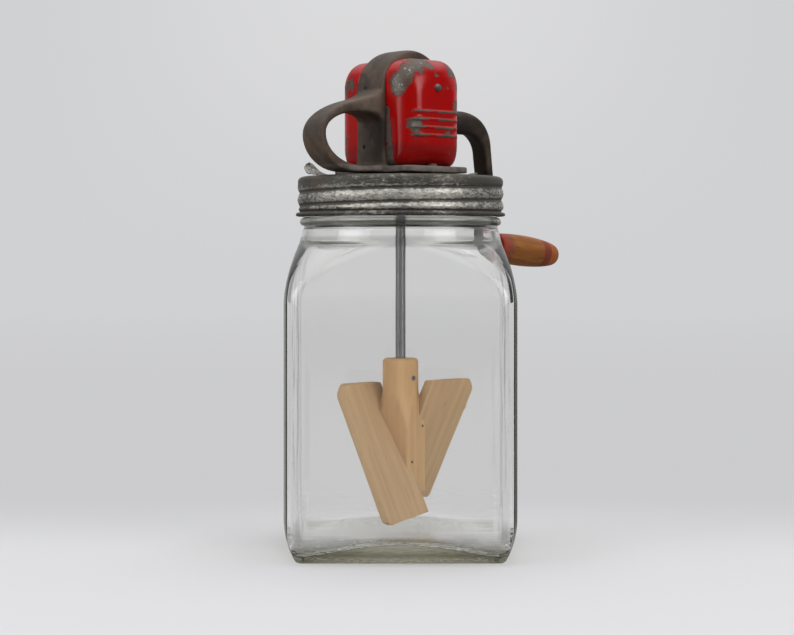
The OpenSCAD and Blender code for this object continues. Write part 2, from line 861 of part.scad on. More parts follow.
module paddle(set) {
    dasher_frame() difference() {
        paddle_slab(set, 0);
        translate([paddle_reach, -far / 2, paddle_top_z - paddle_ear])
            rotate([0, -45, 0]) cube([far, far, far]);
        nail_holes(nail_d + 2 * seat_fit);
    }
}

module nail_holes(d) {
    for (turn = [0, 180])
        for (z = nail_zs)
            rotate([0, 0, turn]) translate([block_w / 2 - groove_depth / 2, 0, z])
                along_y(d, -nail_l / 2, nail_l / 2);
}

module dasher_hub() {
    turned_z = hub_top_z - hub_turned_l;
    color(wood) difference() {
        union() {
            translate([0, 0, turned_z - 1]) cylinder(d = hub_d, h = hub_turned_l + 1);
            dasher_frame() rotate([0, 0, block_turn]) intersection() {
                translate([-block_w / 2, -block_w / 2, hub_bottom_z])
                    cube([block_w, block_w, turned_z - hub_bottom_z]);
                translate([0, 0, hub_bottom_z])
                    cylinder(r1 = hub_d, r2 = hub_d / 2 + 0.5, h = turned_z - hub_bottom_z);
            }
        }
        translate([0, 0, rod_bottom_z]) cylinder(d = rod_d + 2 * seat_fit, h = far);
        dasher_pin_hole(dasher_pin_d + 2 * seat_fit);
        dasher_frame() for (side = [1, -1])
            rotate([0, 0, 90 - 90 * side]) paddle_slab(side * paddle_set, seat_fit);
        dasher_frame() nail_holes(nail_d + 2 * seat_fit);
    }
}

module dasher_pin() {
    color(steel) dasher_pin_hole(dasher_pin_d);
}

module front_paddle() {
    color(wood) paddle(paddle_set);
}

module rear_paddle() {
    color(wood) rotate([0, 0, 180]) paddle(-paddle_set);
}

module paddle_nails() {
    color(steel) dasher_frame() nail_holes(nail_d);
}

jar();
lid_gasket();
screw_lid();
vent_shutter();
gear_frame();
frame_rivets();
front_cover();
rear_cover();
cover_screws();
crank_shaft();
shaft_washer();
drive_gear();
drive_gear_pin();
crank_arm();
crank_arm_pin();
knob_spindle();
knob_washer();
crank_knob();
pinion();
pinion_pin();
thrust_washer();
dasher_rod();
dasher_hub();
dasher_pin();
front_paddle();
rear_paddle();
paddle_nails();
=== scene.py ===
import json
import math

import bmesh
import bpy
from mathutils import Matrix, Vector


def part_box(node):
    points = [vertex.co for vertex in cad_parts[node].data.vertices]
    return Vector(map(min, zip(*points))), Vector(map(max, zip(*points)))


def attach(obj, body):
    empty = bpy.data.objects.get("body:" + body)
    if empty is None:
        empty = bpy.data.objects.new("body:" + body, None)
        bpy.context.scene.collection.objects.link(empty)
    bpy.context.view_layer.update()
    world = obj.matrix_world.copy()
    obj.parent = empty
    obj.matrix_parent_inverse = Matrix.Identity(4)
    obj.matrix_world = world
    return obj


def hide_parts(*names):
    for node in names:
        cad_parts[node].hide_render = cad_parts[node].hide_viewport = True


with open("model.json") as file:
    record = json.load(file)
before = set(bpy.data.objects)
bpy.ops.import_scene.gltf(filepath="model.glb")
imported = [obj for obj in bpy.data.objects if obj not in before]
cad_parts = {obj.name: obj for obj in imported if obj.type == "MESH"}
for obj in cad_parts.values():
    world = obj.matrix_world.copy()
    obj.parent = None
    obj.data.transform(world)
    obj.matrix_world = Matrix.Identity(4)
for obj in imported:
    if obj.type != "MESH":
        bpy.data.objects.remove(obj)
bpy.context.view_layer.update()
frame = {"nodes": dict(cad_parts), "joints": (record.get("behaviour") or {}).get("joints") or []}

MM = 0.001
JOINTS = {joint["name"]: joint for joint in frame["joints"]}


def span(node):
    """Lowest and highest corner of a CAD node in millimetres."""
    low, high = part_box(node)
    return low / MM, high / MM


# Jar sizes in millimetres
JAR_HALF = span("jar")[1].x
RIM_Z = span("jar")[1].z
CORNER_R = 12
WALL = 4
FLOOR_Z = 14
FLOOR_DROP = 10.5
SHOULDER_Z = 160
NECK_Z = 207
NECK_R = 62.5
HEEL_H = 27
HEEL_IN = 7.5
SHOULDER_EASE = 1.5
CORNER_EASE = 2
SHOULDER_ROUND = 9
NECK_FILLET = 2.2
BEAD_Z = 211.1
BEAD_R = 2.6
BEAD_BAND_Z = (209.2, 213.2)
CREASE_Z = (195.5, 200.5)
THREAD_RISE = 1.1
FLAT_SHARE = 0.45

# Lid and shutter sizes
LID_Z0 = span("screw_lid")[0].z
LID_TOP = span("screw_lid")[1].z
LID_T = 1.0
LID_SUNK = 0.5
LID_EDGE_R = 3.2
VALLEY_R = 65.1
RING_RISE = 1.5
RING_PITCH = 8.5
VALLEY_Z = 231.5
VENT_R = 48
VENT_D = 8
GUIDE_R = 8.5
SHUTTER_Z = span("vent_shutter")[0].z
SHUTTER_T = 0.9
SHUTTER_W = 17
TAB_REACH = 65
TAIL_REACH = 54
TAB_LIFT = 8.0
TAIL_LIFT = 2.6
SHUTTER_YAW = math.radians(22)
VENT_YAW = SHUTTER_YAW - math.radians(36)

# Top works sizes, in the frame of the crank axis
TOP_YAW = math.atan2(JOINTS["crank_turn"]["axis"][1], JOINTS["crank_turn"]["axis"][0])
SHAFT_Z = JOINTS["crank_turn"]["pos_m"][2] / MM
ARCH_Z = span("gear_frame")[1].z
PLATE_T = 4
PLATE_Z1 = span("front_cover")[0].z
PLATE_Z0 = PLATE_Z1 - PLATE_T
PLATE_L = 54
PLATE_W = 74
ARCH_R = 26.75
LEG_T = 4.6
CROWN_T = 8
BAND_W = 27
BOSS_R = 8.75
LUG_Y = 30
LUG_HALF = 4
LOOP_REACH = 75.6
LOOP_T = 5.6
LOOP_W = 17.5
COVER_L = 50
COVER_REACH = 34.5
COVER_OPEN = BAND_W / 2
REAR_OPEN = 11.0
COVER_Z1 = span("front_cover")[1].z
COVER_T = 1
COVER_CORNER = 14.0
FACE_CROWN = 0.9
SCREW_Z = SHAFT_Z + 18
RIB_COUNT = 4
RIB_PITCH = 5
RIB_MID_Z = 272.9
RIB_RISE = 1.15
RIB_WIDTH = 0.95

# Crank and knob sizes
ARM_REACH = 79
ARM_T = 5
ARM_W = 14
CRANK_HUB_D = 15.5
EYE_D = 15
KNOB_SEAT = Vector(JOINTS["knob_spin"]["pos_m"]) / MM
KNOB_AXIS = Vector(JOINTS["knob_spin"]["axis"])
KNOB_START = 3.7
KNOB_L = 58.5
KNOB_R = 10.5

# Dasher sizes
DASHER_YAW = math.radians(226)
HUB_LOW, HUB_HIGH = span("dasher_hub")[0].z, span("dasher_hub")[1].z
HUB_R = 11.5
HUB_TURNED = 21
HUB_TAPER = 0.21
BLOCK_HALF = 11.9
BLOCK_TURN = math.radians(15)
PADDLE_LOW, PADDLE_HIGH = span("front_paddle")[0].z, span("front_paddle")[1].z
# Boards: inner end, reach, offset aside, low and high end
FRONT_BOARD = (3.0, 40, 3.5, PADDLE_LOW, PADDLE_HIGH)
REAR_BOARD = (6.6, 49, 4.0, 29, 109)
NAIL_HEADS = ((14.0, 0.7, 79), (7.4, -11.2, 57))
NAIL_WAY = Vector((0.875, -0.485, 0))
NAIL_SUNK = 9
NAIL_OUT = 0.6
NAIL_R = 0.8
PADDLE_T = 8
PADDLE_SLANT = math.radians(28)
PADDLE_EAR = 7

TOP = Matrix.Rotation(TOP_YAW, 4, "Z")
HALF_TURN = Matrix.Rotation(math.pi, 4, "Z")
DASHER = Matrix.Rotation(DASHER_YAW, 4, "Z")
SEAT_HERE = TOP.inverted() @ KNOB_SEAT
CRANK_REST = math.atan2(SEAT_HERE.y, SHAFT_Z - SEAT_HERE.z)
CRANK_THROW = math.hypot(SEAT_HERE.y, SHAFT_Z - SEAT_HERE.z)
HANGING = (TOP @ Matrix.Translation((0, 0, SHAFT_Z * MM)) @ Matrix.Rotation(CRANK_REST, 4, "X")
           @ Matrix.Translation((0, 0, -SHAFT_Z * MM)))
SHUTTER = Matrix.Rotation(SHUTTER_YAW, 4, "Z")
BLOCK = DASHER @ Matrix.Rotation(BLOCK_TURN, 4, "Z")
KNOB = (Matrix.Translation(KNOB_SEAT * MM)
        @ Vector((0, 0, 1)).rotation_difference(KNOB_AXIS).to_matrix().to_4x4())


# Shader expressions

class Tone:
    """A shader value: arithmetic on it adds Math nodes."""

    def __init__(self, finish, socket):
        self.finish = finish
        self.socket = socket

    def maths(self, operation, first, second):
        return self.finish.node("Math", inputs={0: first, 1: second}, operation=operation)

    def __add__(self, other):
        return self.maths("ADD", self, other)

    def __radd__(self, other):
        return self.maths("ADD", other, self)

    def __sub__(self, other):
        return self.maths("SUBTRACT", self, other)

    def __rsub__(self, other):
        return self.maths("SUBTRACT", other, self)

    def __mul__(self, other):
        return self.maths("MULTIPLY", self, other)

    def __rmul__(self, other):
        return self.maths("MULTIPLY", other, self)

    def __truediv__(self, other):
        return self.maths("DIVIDE", self, other)

    def __rtruediv__(self, other):
        return self.maths("DIVIDE", other, self)

    def most(self, other):
        return self.maths("MAXIMUM", self, other)

    def size(self):
        return self.maths("ABSOLUTE", self, 0)


class Finish:
    """A node tree under construction, read in the frame that place gives."""

    def __init__(self, tree, place=None):
        self.tree = tree
        self.tree.nodes.clear()
        self.place = None
        if place is not None:
            self.place = self.node(
                "Mapping",
                inputs={
                    "Vector": self.node("TexCoord", out="Object"),
                    "Location": place.to_translation(),
                    "Rotation": place.to_euler(),
                },
                vector_type="TEXTURE",
            )

    def node(self, kind, out=0, inputs=None, **settings):
        made = self.tree.nodes.new("ShaderNode" + kind)
        for name, value in settings.items():
            setattr(made, name, value)
        for name, value in (inputs or {}).items():
            self.feed(made.inputs[name], value)
        return Tone(self, made.outputs[out])

    def feed(self, socket, value):
        if isinstance(value, Tone):
            self.tree.links.new(value.socket, socket)
        elif socket.type == "RGBA" and len(value) == 3:
            socket.default_value = (*value, 1)
        else:
            socket.default_value = value

    def stretched(self, x, y, z):
        return self.node("VectorMath", inputs={0: self.place, 1: (x, y, z)}, operation="MULTIPLY")

    def noise(self, scale, detail=4, rough=0.55, twist=0.0, at=None):
        return self.node("TexNoise", inputs={
            "Vector": at or self.place, "Scale": scale, "Detail": detail,
            "Roughness": rough, "Distortion": twist,
        })

    def part(self, axis, vector=None):
        return self.node("SeparateXYZ", out=axis, inputs={0: vector or self.place})

    def ease(self, value, low, high):
        """0 below low, 1 above high, smooth between."""
        return self.node(
            "MapRange",
            inputs={"Value": value, "From Min": low, "From Max": high},
            interpolation_type="SMOOTHSTEP",
        )

    def ease_mm(self, value, low, high):
        return self.ease(value, low * MM, high * MM)

    def within(self, value, low, high, soft):
        """1 from low to high in millimetres, easing to 0 over soft on both sides."""
        return self.ease_mm(value, low - soft, low) * (1 - self.ease_mm(value, high, high + soft))

    def near(self, spot, reach):
        """1 at a spot given in millimetres, fading to 0 at the reach."""
        spot = Vector(spot) * MM
        gap = self.node("VectorMath", out=1, inputs={0: self.place, 1: spot}, operation="DISTANCE")
        return 1 - self.ease_mm(gap, 0, reach)

    def ray(self, kind):
        return self.node("LightPath", out=f"Is {kind} Ray")

    def blend(self, share, first, second):
        """Shader between first and second."""
        return self.node("MixShader", inputs={0: share, 1: first, 2: second})

    def glow(self, tone, strength=1.0):
        return self.node("Emission", inputs={"Color": tone, "Strength": strength})

    def mix(self, share, first, second):
        """Colour between first and second."""
        return self.node("Mix", out=2, inputs={0: share, 6: first, 7: second}, data_type="RGBA")

    def bump(self, height, depth, strength):
        inputs = {"Height": height, "Distance": depth, "Strength": strength}
        return self.node("Bump", inputs=inputs)

    def surface(self, **inputs):
        named = {name.replace("_", " "): value for name, value in inputs.items()}
        return self.node("BsdfPrincipled", inputs=named)

    def output(self, surface, volume=None):
        sockets = {"Surface": surface}
        if volume:
            sockets["Volume"] = volume
        ending = self.tree.nodes.new("ShaderNodeOutputMaterial")
        for name, value in sockets.items():
            self.feed(ending.inputs[name], value)


def new_finish(name, place=None):
    material = bpy.data.materials.new(name)
    material.use_nodes = True
    return material, Finish(material.node_tree, place or Matrix.Identity(4))


# Finishes

def clear_glass():
    """Old glass with a green foot. It turns partly clear at its edges, where plain glass traps
    the rays and draws black lines."""
    material, f = new_finish("old_clear_glass")
    sideways, up = f.part(0), f.part(2)
    waves = f.noise(22, detail=2, at=f.stretched(1, 1, 0.45))
    low = 1 - f.ease_mm(up, 4, 30)
    reach = sideways.size().most(f.part(1).size())
    outside = f.ease_mm(reach, JAR_HALF - 6.5, JAR_HALF - 4.5)
    stipple = f.noise(420, detail=2) * low * (1 - outside)
    streaks = f.noise(60, detail=3, at=f.stretched(0.25, 0.25, 9)) * low * outside
    seeds = f.ease(f.noise(150, detail=1), 0.73, 0.80)
    height = waves * 0.25 + stipple * 0.35 + streaks * 0.16 + seeds * 0.012
    foot = (1 - f.ease_mm(up, 4, 10.5)) * outside
    glass = f.surface(
        Base_Color=f.mix(foot, (1.0, 1.0, 1.0), (0.24, 0.23, 0.145)),
        Roughness=0.0,
        IOR=1.49,
        Transmission_Weight=1.0,
        Normal=f.bump(height, 0.004, 0.55),
    )
    clear = f.node("BsdfTransparent", inputs={"Color": (0.93, 0.94, 0.92)})
    rim = f.node("BsdfTransparent", inputs={"Color": (0.79, 0.80, 0.765)})
    grazing = f.node("LayerWeight", out="Facing", inputs={"Blend": 0.5})
    side = f.ease_mm(sideways.size(), JAR_HALF - 2, JAR_HALF - 0.8)
    # painted lightening: the left edge is made clearer, and so lighter, than the right edge
    side = side * (0.85 - f.ease_mm(sideways, -10, 10) * 0.45)
    # painted lightening: the crease band and the bead band are made partly clear as well
    crease = f.within(up, *CREASE_Z, 2)
    bead = f.within(up, *BEAD_BAND_Z, 1)
    edge = f.ease(grazing, 0.36, 0.58) * side + bead * 0.5 + crease * 0.2
    shaded = f.blend(f.ray("Shadow"), f.blend(edge, glass, rim), clear)
    tint = f.node("VolumeAbsorption", inputs={"Color": (0.43, 0.41, 0.25), "Density": 11.0})
    f.output(shaded, tint)
    return material


def worn_tin(name, crest=None, shade_z=None):
    """Tarnished tinplate: grey film, fine bright flecks where rubbed, and rust stains."""
    material, f = new_finish(name)
    flecks = f.noise(520, detail=6, rough=0.78, at=f.stretched(0.6, 0.6, 1.5))
    clouds = f.noise(52, detail=6, rough=0.62, at=f.stretched(1, 1, 1.8))
    rubbed = clouds * 0.55
    if crest:
        flat = f.stretched(1, 1, 0)
        reach = f.node("VectorMath", out=1, inputs={0: flat}, operation="LENGTH")
        # painted shade: top marks the band under the lid's top edge, which gets less of the bright
        # crest
        top = f.ease_mm(f.part(2), *shade_z)
        # painted shadow: lip darkens the bottom edge of the lid
        lip = 1 - f.ease_mm(f.part(2), LID_Z0 + 1.9, LID_Z0 + 2.9)
        # painted shade: aside darkens the lid towards both sides, which face away from the light
        aside = f.ease_mm(f.part(0).size(), 24, 62)
        rubbed = rubbed + f.ease_mm(reach, *crest) * (0.36 - top * 0.30)
        # rubbed here holds real wear on the ring crests plus the painted shade of the lip and the
        # sides
        rubbed = rubbed - lip * 0.25 - aside * 0.16
    else:
        rubbed = rubbed + 0.16
    bright = f.ease(flecks * 1.35 + rubbed, 0.98, 1.48)
    film = f.mix(clouds, (0.042, 0.040, 0.032), (0.110, 0.104, 0.088))
    metal = f.mix(flecks, (0.42, 0.41, 0.36), (0.90, 0.88, 0.80))
    tone = f.mix(bright, film, metal)
    rust_spot = f.near((-53.7, -38.5, 234.5), 14)
    stained = f.noise(34, detail=8, rough=0.7) + rust_spot * 0.16
    rust = f.ease(stained, 0.57, 0.70)
    tone = f.mix(rust * 0.65, tone, (0.110, 0.066, 0.038))
    f.output(f.surface(
        Base_Color=tone,
        Metallic=0.45 - rust * 0.35,
        Roughness=0.52 - bright * 0.14 + rust * 0.2,
        Normal=f.bump(flecks * 0.4 + clouds, 0.0006, 0.45),
    ))
    return material


def cast_iron(name, place, dark, brown, pits=(), paler_below_z=None):
    """Oiled cast iron with a thin brown rust film, and small drilled pits."""
    material, f = new_finish(name, place)
    grain = f.noise(700, detail=3)
    mottle = f.noise(70, detail=6, rough=0.6)
    patches = f.noise(26, detail=7, rough=0.65, twist=0.4)
    rusty = f.ease(patches, 0.42, 0.66)
    tone = f.mix(rusty, dark, brown)
    tone = f.mix(f.ease(mottle, 0.52, 0.75) * 0.5, tone, [min(1, 1.7 * c) for c in brown])
    hole = None
    for spot, reach in pits:
        mark = f.near(spot, reach)
        hole = mark if hole is None else hole.most(mark)
    height = grain * 0.35 + mottle
    if paler_below_z:
        # below this height, the top of the plate, the iron is paled in mottled patches
        rubbed = 1 - f.ease_mm(f.part(2), paler_below_z - 0.6, paler_below_z + 1.2)
        tone = f.mix(rubbed * f.ease(mottle, 0.30, 0.55), tone, (0.185, 0.158, 0.140))
    if hole:
        # painted shade: each pit is drawn near-black, a painted shadow inside a hole that the mesh
        # does not cut
        tone = f.mix(f.ease(hole, 0.15, 0.5), tone, (0.006, 0.005, 0.004))
        height = height - hole * 3
    f.output(f.surface(
        Base_Color=tone,
        Metallic=0.15,
        Roughness=0.42 + mottle * 0.25,
        Specular_IOR_Level=0.32,
        Normal=f.bump(height, 0.0007, 0.45),
    ))
    return material


def chipped_paint(name, place, spots, stripped):
    """Glossy red enamel over steel, worn through on edges, ribs and at the given spots."""
    material, f = new_finish(name, place)
    reach, up = 0 - f.part(1), f.part(2)
    flakes = f.noise(105, detail=10, rough=0.68, twist=0.3) * 0.72
    flakes = flakes + f.noise(390, detail=6, rough=0.7) * 0.28
    scuffs = f.noise(880, detail=5, rough=0.75)
    face = f.ease_mm(reach, COVER_REACH - 6, COVER_REACH - 1)
    beat = (up - (RIB_MID_Z + RIB_PITCH / 2) * MM) / (RIB_PITCH * MM)
    wave = f.node("Math", inputs={0: beat * (2 * math.pi)}, operation="COSINE")
    crest = f.ease(wave, 0.40, 0.90)
    ribbed = f.within(up, RIB_MID_Z - 9, RIB_MID_Z + 9, 1)
    rise = up - PLATE_Z1 * MM
    slanted = reach + rise * 0.13 + scuffs * 0.001
    strip = 1 - f.ease_mm(slanted, COVER_OPEN + 7.5, COVER_OPEN + 10.5)
    strip = strip * (1 - f.ease_mm(rise, 34, 43))
    upper = f.ease_mm(up, COVER_Z1 - 9, COVER_Z1 - 1)
    rubbed = 0
    for spot, size, weight in spots:
        rubbed = f.near(spot, size) * weight + rubbed
    level = flakes + rubbed + crest * ribbed * face * 0.15 + strip * stripped + upper * 0.05
    chips = f.ease(level, 0.620, 0.645)
    thin = f.ease(level + scuffs * 0.10, 0.575, 0.70)
    shade = f.noise(30, detail=4)
    red = f.mix(shade, (0.345, 0.0008, 0.0005), (0.430, 0.0012, 0.0009))
    # painted shade: the red darkens over the lowest 11 to 18 mm of the cover, where the face turns
    # in
    painted_low_shade = 1 - f.ease_mm(rise + scuffs * 0.002, 11, 18)
    red = f.mix(painted_low_shade * 0.55, red, (0.16, 0.0006, 0.0004))
    red = f.mix(thin * 0.5, red, (0.19, 0.014, 0.011))
    deep = f.ease(flakes + rubbed, 0.66, 0.84)
    bare = f.mix(f.ease(flakes, 0.40, 0.60), (0.150, 0.118, 0.096), (0.085, 0.066, 0.052))
    bare = f.mix(deep * 0.7, bare, (0.215, 0.195, 0.175))
    bare = f.mix(f.ease(scuffs, 0.54, 0.66) * deep, bare, (0.80, 0.78, 0.75))
    tone = f.mix(chips, red, bare)
    f.output(f.surface(
        Base_Color=tone,
        Metallic=chips * 0.30,
        Roughness=0.16 + chips * 0.34 + scuffs * 0.05,
        Specular_IOR_Level=0.36,
        Normal=f.bump((1 - chips) + scuffs * 0.05, 0.0003, 0.6),
    ))
    return material


def grained_wood(name, place, pale, dark):
    """Planed wood with its grain along the local z axis."""
    material, f = new_finish(name, place)
    drift = f.noise(9, detail=3, at=f.stretched(1, 1, 0.35))
    lines = f.noise(150, detail=5, rough=0.6, at=f.stretched(1, 1, 0.055), twist=0.35)
    fibres = f.noise(900, detail=3, at=f.stretched(1, 1, 0.03))
    pores = f.noise(620, detail=2, at=f.stretched(1, 1, 0.10))
    rings = f.node("TexWave", out="Fac", inputs={
        "Vector": f.stretched(1, 0.35, 0.03), "Scale": 38.0, "Distortion": 9.0,
        "Detail": 3.0, "Detail Scale": 1.6,
    })
    body = f.ease(lines * 0.50 + rings * 0.12 + drift * 0.55, 0.32, 0.90)
    tone = f.mix(body, pale, dark)
    pitted = f.ease(pores, 0.64, 0.74)
    tone = f.mix(pitted * 0.45, tone, [0.55 * c for c in dark])
    tone = f.mix(f.ease(fibres, 0.45, 0.75) * 0.22, tone, [min(1, 1.25 * c) for c in pale])
    f.output(f.surface(
        Base_Color=tone,
        Roughness=0.55 + fibres * 0.12,
        Specular_IOR_Level=0.20,
        Normal=f.bump(lines * 0.6 + fibres * 0.5 - pitted, 0.0004, 0.4),
    ))
    return material


def knob_finish(place):
    """Varnished turned wood with worn red bands at both ends."""
    material, f = new_finish("turned_knob_wood", place)
    along = f.part(2) - KNOB_START * MM
    lines = f.noise(170, detail=6, rough=0.65, at=f.stretched(1, 1, 0.06), twist=0.2)
    pores = f.noise(800, detail=3, at=f.stretched(1, 1, 0.09))
    turned = f.noise(1, detail=3, at=f.stretched(20, 20, 900))
    wood = f.mix(f.ease(lines, 0.32, 0.72), (0.335, 0.125, 0.028), (0.200, 0.068, 0.013))
    wood = f.mix(f.ease(pores, 0.55, 0.72) * 0.55, wood, (0.075, 0.026, 0.008))
    grain = f.ease(lines, 0.3, 0.75)
    red = f.mix(grain, (0.270, 0.048, 0.022), (0.165, 0.032, 0.015))
    rosy = f.mix(grain, (0.240, 0.060, 0.040), (0.150, 0.038, 0.026))
    end = f.mix(grain, (0.400, 0.125, 0.030), (0.250, 0.070, 0.018))
    ragged = f.noise(210, detail=6) * 0.004 - 0.002
    first = 1 - f.ease_mm(along + ragged * 2.2, 7, 12)
    fresh = 1 - f.ease_mm(along + ragged, 2, 5)
    groove = f.ease_mm(along, 40.2, 40.7)
    band = f.ease_mm(along + ragged * 0.4, 40.9, 41.4)
    tip = f.ease_mm(along + ragged * 0.4, 47.6, 48.3)
    kept = f.ease(f.noise(120, detail=7), 0.30, 0.44)
    tone = f.mix(first * kept * 0.85, wood, rosy)
    tone = f.mix(fresh * 0.75, tone, (0.310, 0.030, 0.016))
    tone = f.mix(groove * 0.7, tone, (0.060, 0.020, 0.010))
    tone = f.mix(band, tone, red)
    tone = f.mix(tip, tone, end)
    f.output(f.surface(
        Base_Color=tone,
        Roughness=0.40 + pores * 0.22,
        Specular_IOR_Level=0.22,
        Normal=f.bump(lines * 0.5 + turned * 0.3 - pores * 0.4, 0.0004, 0.4),
    ))
    return material


def drawn_steel(name, tone, rough):
    """Drawn steel with fine lines along z and grey stains."""
    material, f = new_finish(name)
    lines = f.noise(700, detail=4, at=f.stretched(1, 1, 0.02))
    stains = f.noise(60, detail=6, rough=0.65)
    worn = f.ease(stains, 0.48, 0.68)
    f.output(f.surface(
        Base_Color=f.mix(worn * 0.7, tone, [0.45 * c for c in tone]),
        Metallic=0.92 - worn * 0.25,
        Roughness=rough + lines * 0.12 + worn * 0.14,
        Normal=f.bump(lines + stains, 0.0002, 0.35),
    ))
    return material


def sealing_rubber():
    material, f = new_finish("sealing_rubber")
    bloom = f.noise(140, detail=6, rough=0.6)
    f.output(f.surface(
        Base_Color=f.mix(bloom, (0.215, 0.060, 0.034), (0.330, 0.125, 0.080)),
        Roughness=0.68 + bloom * 0.2,
        Normal=f.bump(bloom, 0.0002, 0.4),
    ))
    return material


# Mesh helpers

def ease_between(low, high, value):
    t = min(1.0, max(0.0, (value - low) / (high - low)))
    return t * t * (3 - 2 * t)


def steps_between(start, end, count):
    """Evenly spaced values from start up to, and not with, end."""
    return [start + (end - start) * i / count for i in range(count)]


def curve_points(a, b, c, d, count):
    """Points of a cubic curve with its two ends and two handles."""
    points = []
    for i in range(count + 1):
        t = i / count
        s = 1 - t
        points.append(tuple(
            s ** 3 * p + 3 * s * s * t * q + 3 * s * t * t * r + t ** 3 * e
            for p, q, r, e in zip(a, b, c, d)
        ))
    return points


def curve_chain(start, *legs):
    """Cubic curves end to end: each leg has two handles, its end and a count."""
    points = [start]
    for first, second, end, count in legs:
        points += curve_points(points[-1], first, second, end, count)[1:]
    return points


def arc_points(centre, radius, start, end, count):
    """Points of an arc, with its angles in degrees."""
    turns = [math.radians(start + (end - start) * i / count) for i in range(count + 1)]
    return [(centre[0] + radius * math.cos(a), centre[1] + radius * math.sin(a)) for a in turns]


def tidy(bm):
    bmesh.ops.remove_doubles(bm, verts=bm.verts, dist=1e-6)
    bmesh.ops.recalc_face_normals(bm, faces=bm.faces)
    return bm


def lathe(section, turns):
    """A section of (radius, height) points in millimetres, turned about Z."""
    bm = bmesh.new()
    line = [bm.verts.new((r * MM, 0, z * MM)) for r, z in section]
    edges = [bm.edges.new(pair) for pair in zip(line, line[1:])]
    bmesh.ops.spin(
        bm, geom=line + edges, cent=(0, 0, 0), axis=(0, 0, 1),
        angle=2 * math.pi, steps=turns, use_merge=True,
    )
    return tidy(bm)


def skin(rings, bm=None):
    """A closed skin through outlines with the same number of points, in millimetres."""
    bm = bm or bmesh.new()
    slot = bm.verts.layers.int.get("slot") or bm.verts.layers.int.new("slot")
    verts = bmesh.ops.create_circle(bm, segments=len(rings[0]), radius=MM)["verts"]
    for i, vert in enumerate(verts):
        vert[slot] = i
        vert.co = Vector(rings[0][i]) * MM
    edges = list({edge for vert in verts for edge in vert.link_edges})
    bmesh.ops.edgeloop_fill(bm, edges=edges)
    for ring in rings[1:]:
        made = bmesh.ops.extrude_edge_only(bm, edges=edges)["geom"]
        fresh = [g for g in made if isinstance(g, bmesh.types.BMVert)]
        for vert in fresh:
            vert.co = Vector(ring[vert[slot]]) * MM
        edges = [
            g for g in made
            if isinstance(g, bmesh.types.BMEdge) and all(v in fresh for v in g.verts)
        ]
    bmesh.ops.edgeloop_fill(bm, edges=edges)
    bmesh.ops.recalc_face_normals(bm, faces=bm.faces)
    return bm


def power(value, share):
    return math.copysign(abs(value) ** share, value)


def strap(outer, inner, widths, squareness, bm=None, points=28, aside=0.0):
    """A strap between two lines of (along, height) points, with rounded sides."""
    rings = []
    for (ou, oz), (iu, iz), wide, square in zip(outer, inner, widths, squareness):
        ring = []
        for i in range(points):
            turn = 2 * math.pi * i / points
            side = power(math.cos(turn), 2 / square)
            share = (1 + side) / 2
            ring.append((
                iu + (ou - iu) * share,
                aside + wide / 2 * power(math.sin(turn), 2 / square),
                iz + (oz - iz) * share,
            ))
        rings.append(ring)
    return skin(rings, bm)


def bar(bm, start, end, radius, segments=40):
    """A round bar between two points in millimetres."""
    start, end = Vector(start), Vector(end)
    turn = Vector((0, 0, 1)).rotation_difference(end - start).to_matrix().to_4x4()
    bmesh.ops.create_cone(
        bm, cap_ends=True, segments=segments, radius1=radius * MM, radius2=radius * MM,
        depth=(end - start).length * MM,
        matrix=Matrix.Translation((start + end) / 2 * MM) @ turn,
    )


def box_block(bm, low, high):
    """A plain block between two corners in millimetres; returns its vertices."""
    low, high = Vector(low) * MM, Vector(high) * MM
    return bmesh.ops.create_cube(
        bm, size=1,
        matrix=Matrix.Translation((low + high) / 2) @ Matrix.Diagonal((*(high - low), 1)),
    )["verts"]


def hole_edges(bm, centre, radius, segments):
    """Edges of a level circle in millimetres, for a fill that leaves it open."""
    verts = bmesh.ops.create_circle(
        bm, segments=segments, radius=radius * MM, matrix=Matrix.Translation(Vector(centre) * MM),
    )["verts"]
    return list({edge for vert in verts for edge in vert.link_edges})


def round_edges(bm, edges, radius, segments):
    bmesh.ops.bevel(
        bm, geom=list(edges), offset=radius * MM, offset_type="OFFSET", segments=segments,
        profile=0.5, affect="EDGES", material=-1, clamp_overlap=True,
    )


def cut_plane(bm, point, normal, **options):
    """Cuts the whole mesh along a plane; returns what lies on the cut."""
    return bmesh.ops.bisect_plane(
        bm, geom=bm.verts[:] + bm.edges[:] + bm.faces[:], dist=1e-7,
        plane_co=point, plane_no=normal, **options,
    )["geom_cut"]


def mesh_from(name, bm):
    mesh = bpy.data.meshes.new(name)
    bm.to_mesh(mesh)
    bm.free()
    return mesh


def place_object(name, data):
    """A new object in the scene, at the origin."""
    made = bpy.data.objects.new(name, data)
    bpy.context.scene.collection.objects.link(made)
    return made


def make_piece(name, bm, material, body, replaced=(), place=None, sharp=40):
    """Turns a finished bmesh into an object that rides on a body."""
    if place:
        bmesh.ops.transform(bm, matrix=place, verts=bm.verts)
    mesh = mesh_from(name, bm)
    if "slot" in mesh.attributes:
        mesh.attributes.remove(mesh.attributes["slot"])
    mesh.shade_smooth()
    mesh.set_sharp_from_angle(angle=math.radians(sharp))
    mesh.materials.append(material)
    piece = place_object(name, mesh)
    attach(piece, body)
    if replaced:
        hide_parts(*replaced)
    return piece


def cast_skin(piece, voxel, passes):
    """Melts the joined shapes of a casting into one skin with soft edges."""
    melt = piece.modifiers.new("melt", "REMESH")
    melt.mode = "VOXEL"
    melt.voxel_size = voxel * MM
    melt.use_smooth_shade = True
    soften = piece.modifiers.new("soften", "SMOOTH")
    soften.factor = 0.5
    soften.iterations = passes


def sheet_wall(piece, thick, inward=-1, even=True):
    """Gives an open sheet its thickness."""
    wall = piece.modifiers.new("wall", "SOLIDIFY")
    wall.thickness = thick * MM
    wall.offset = inward
    wall.use_even_offset = even


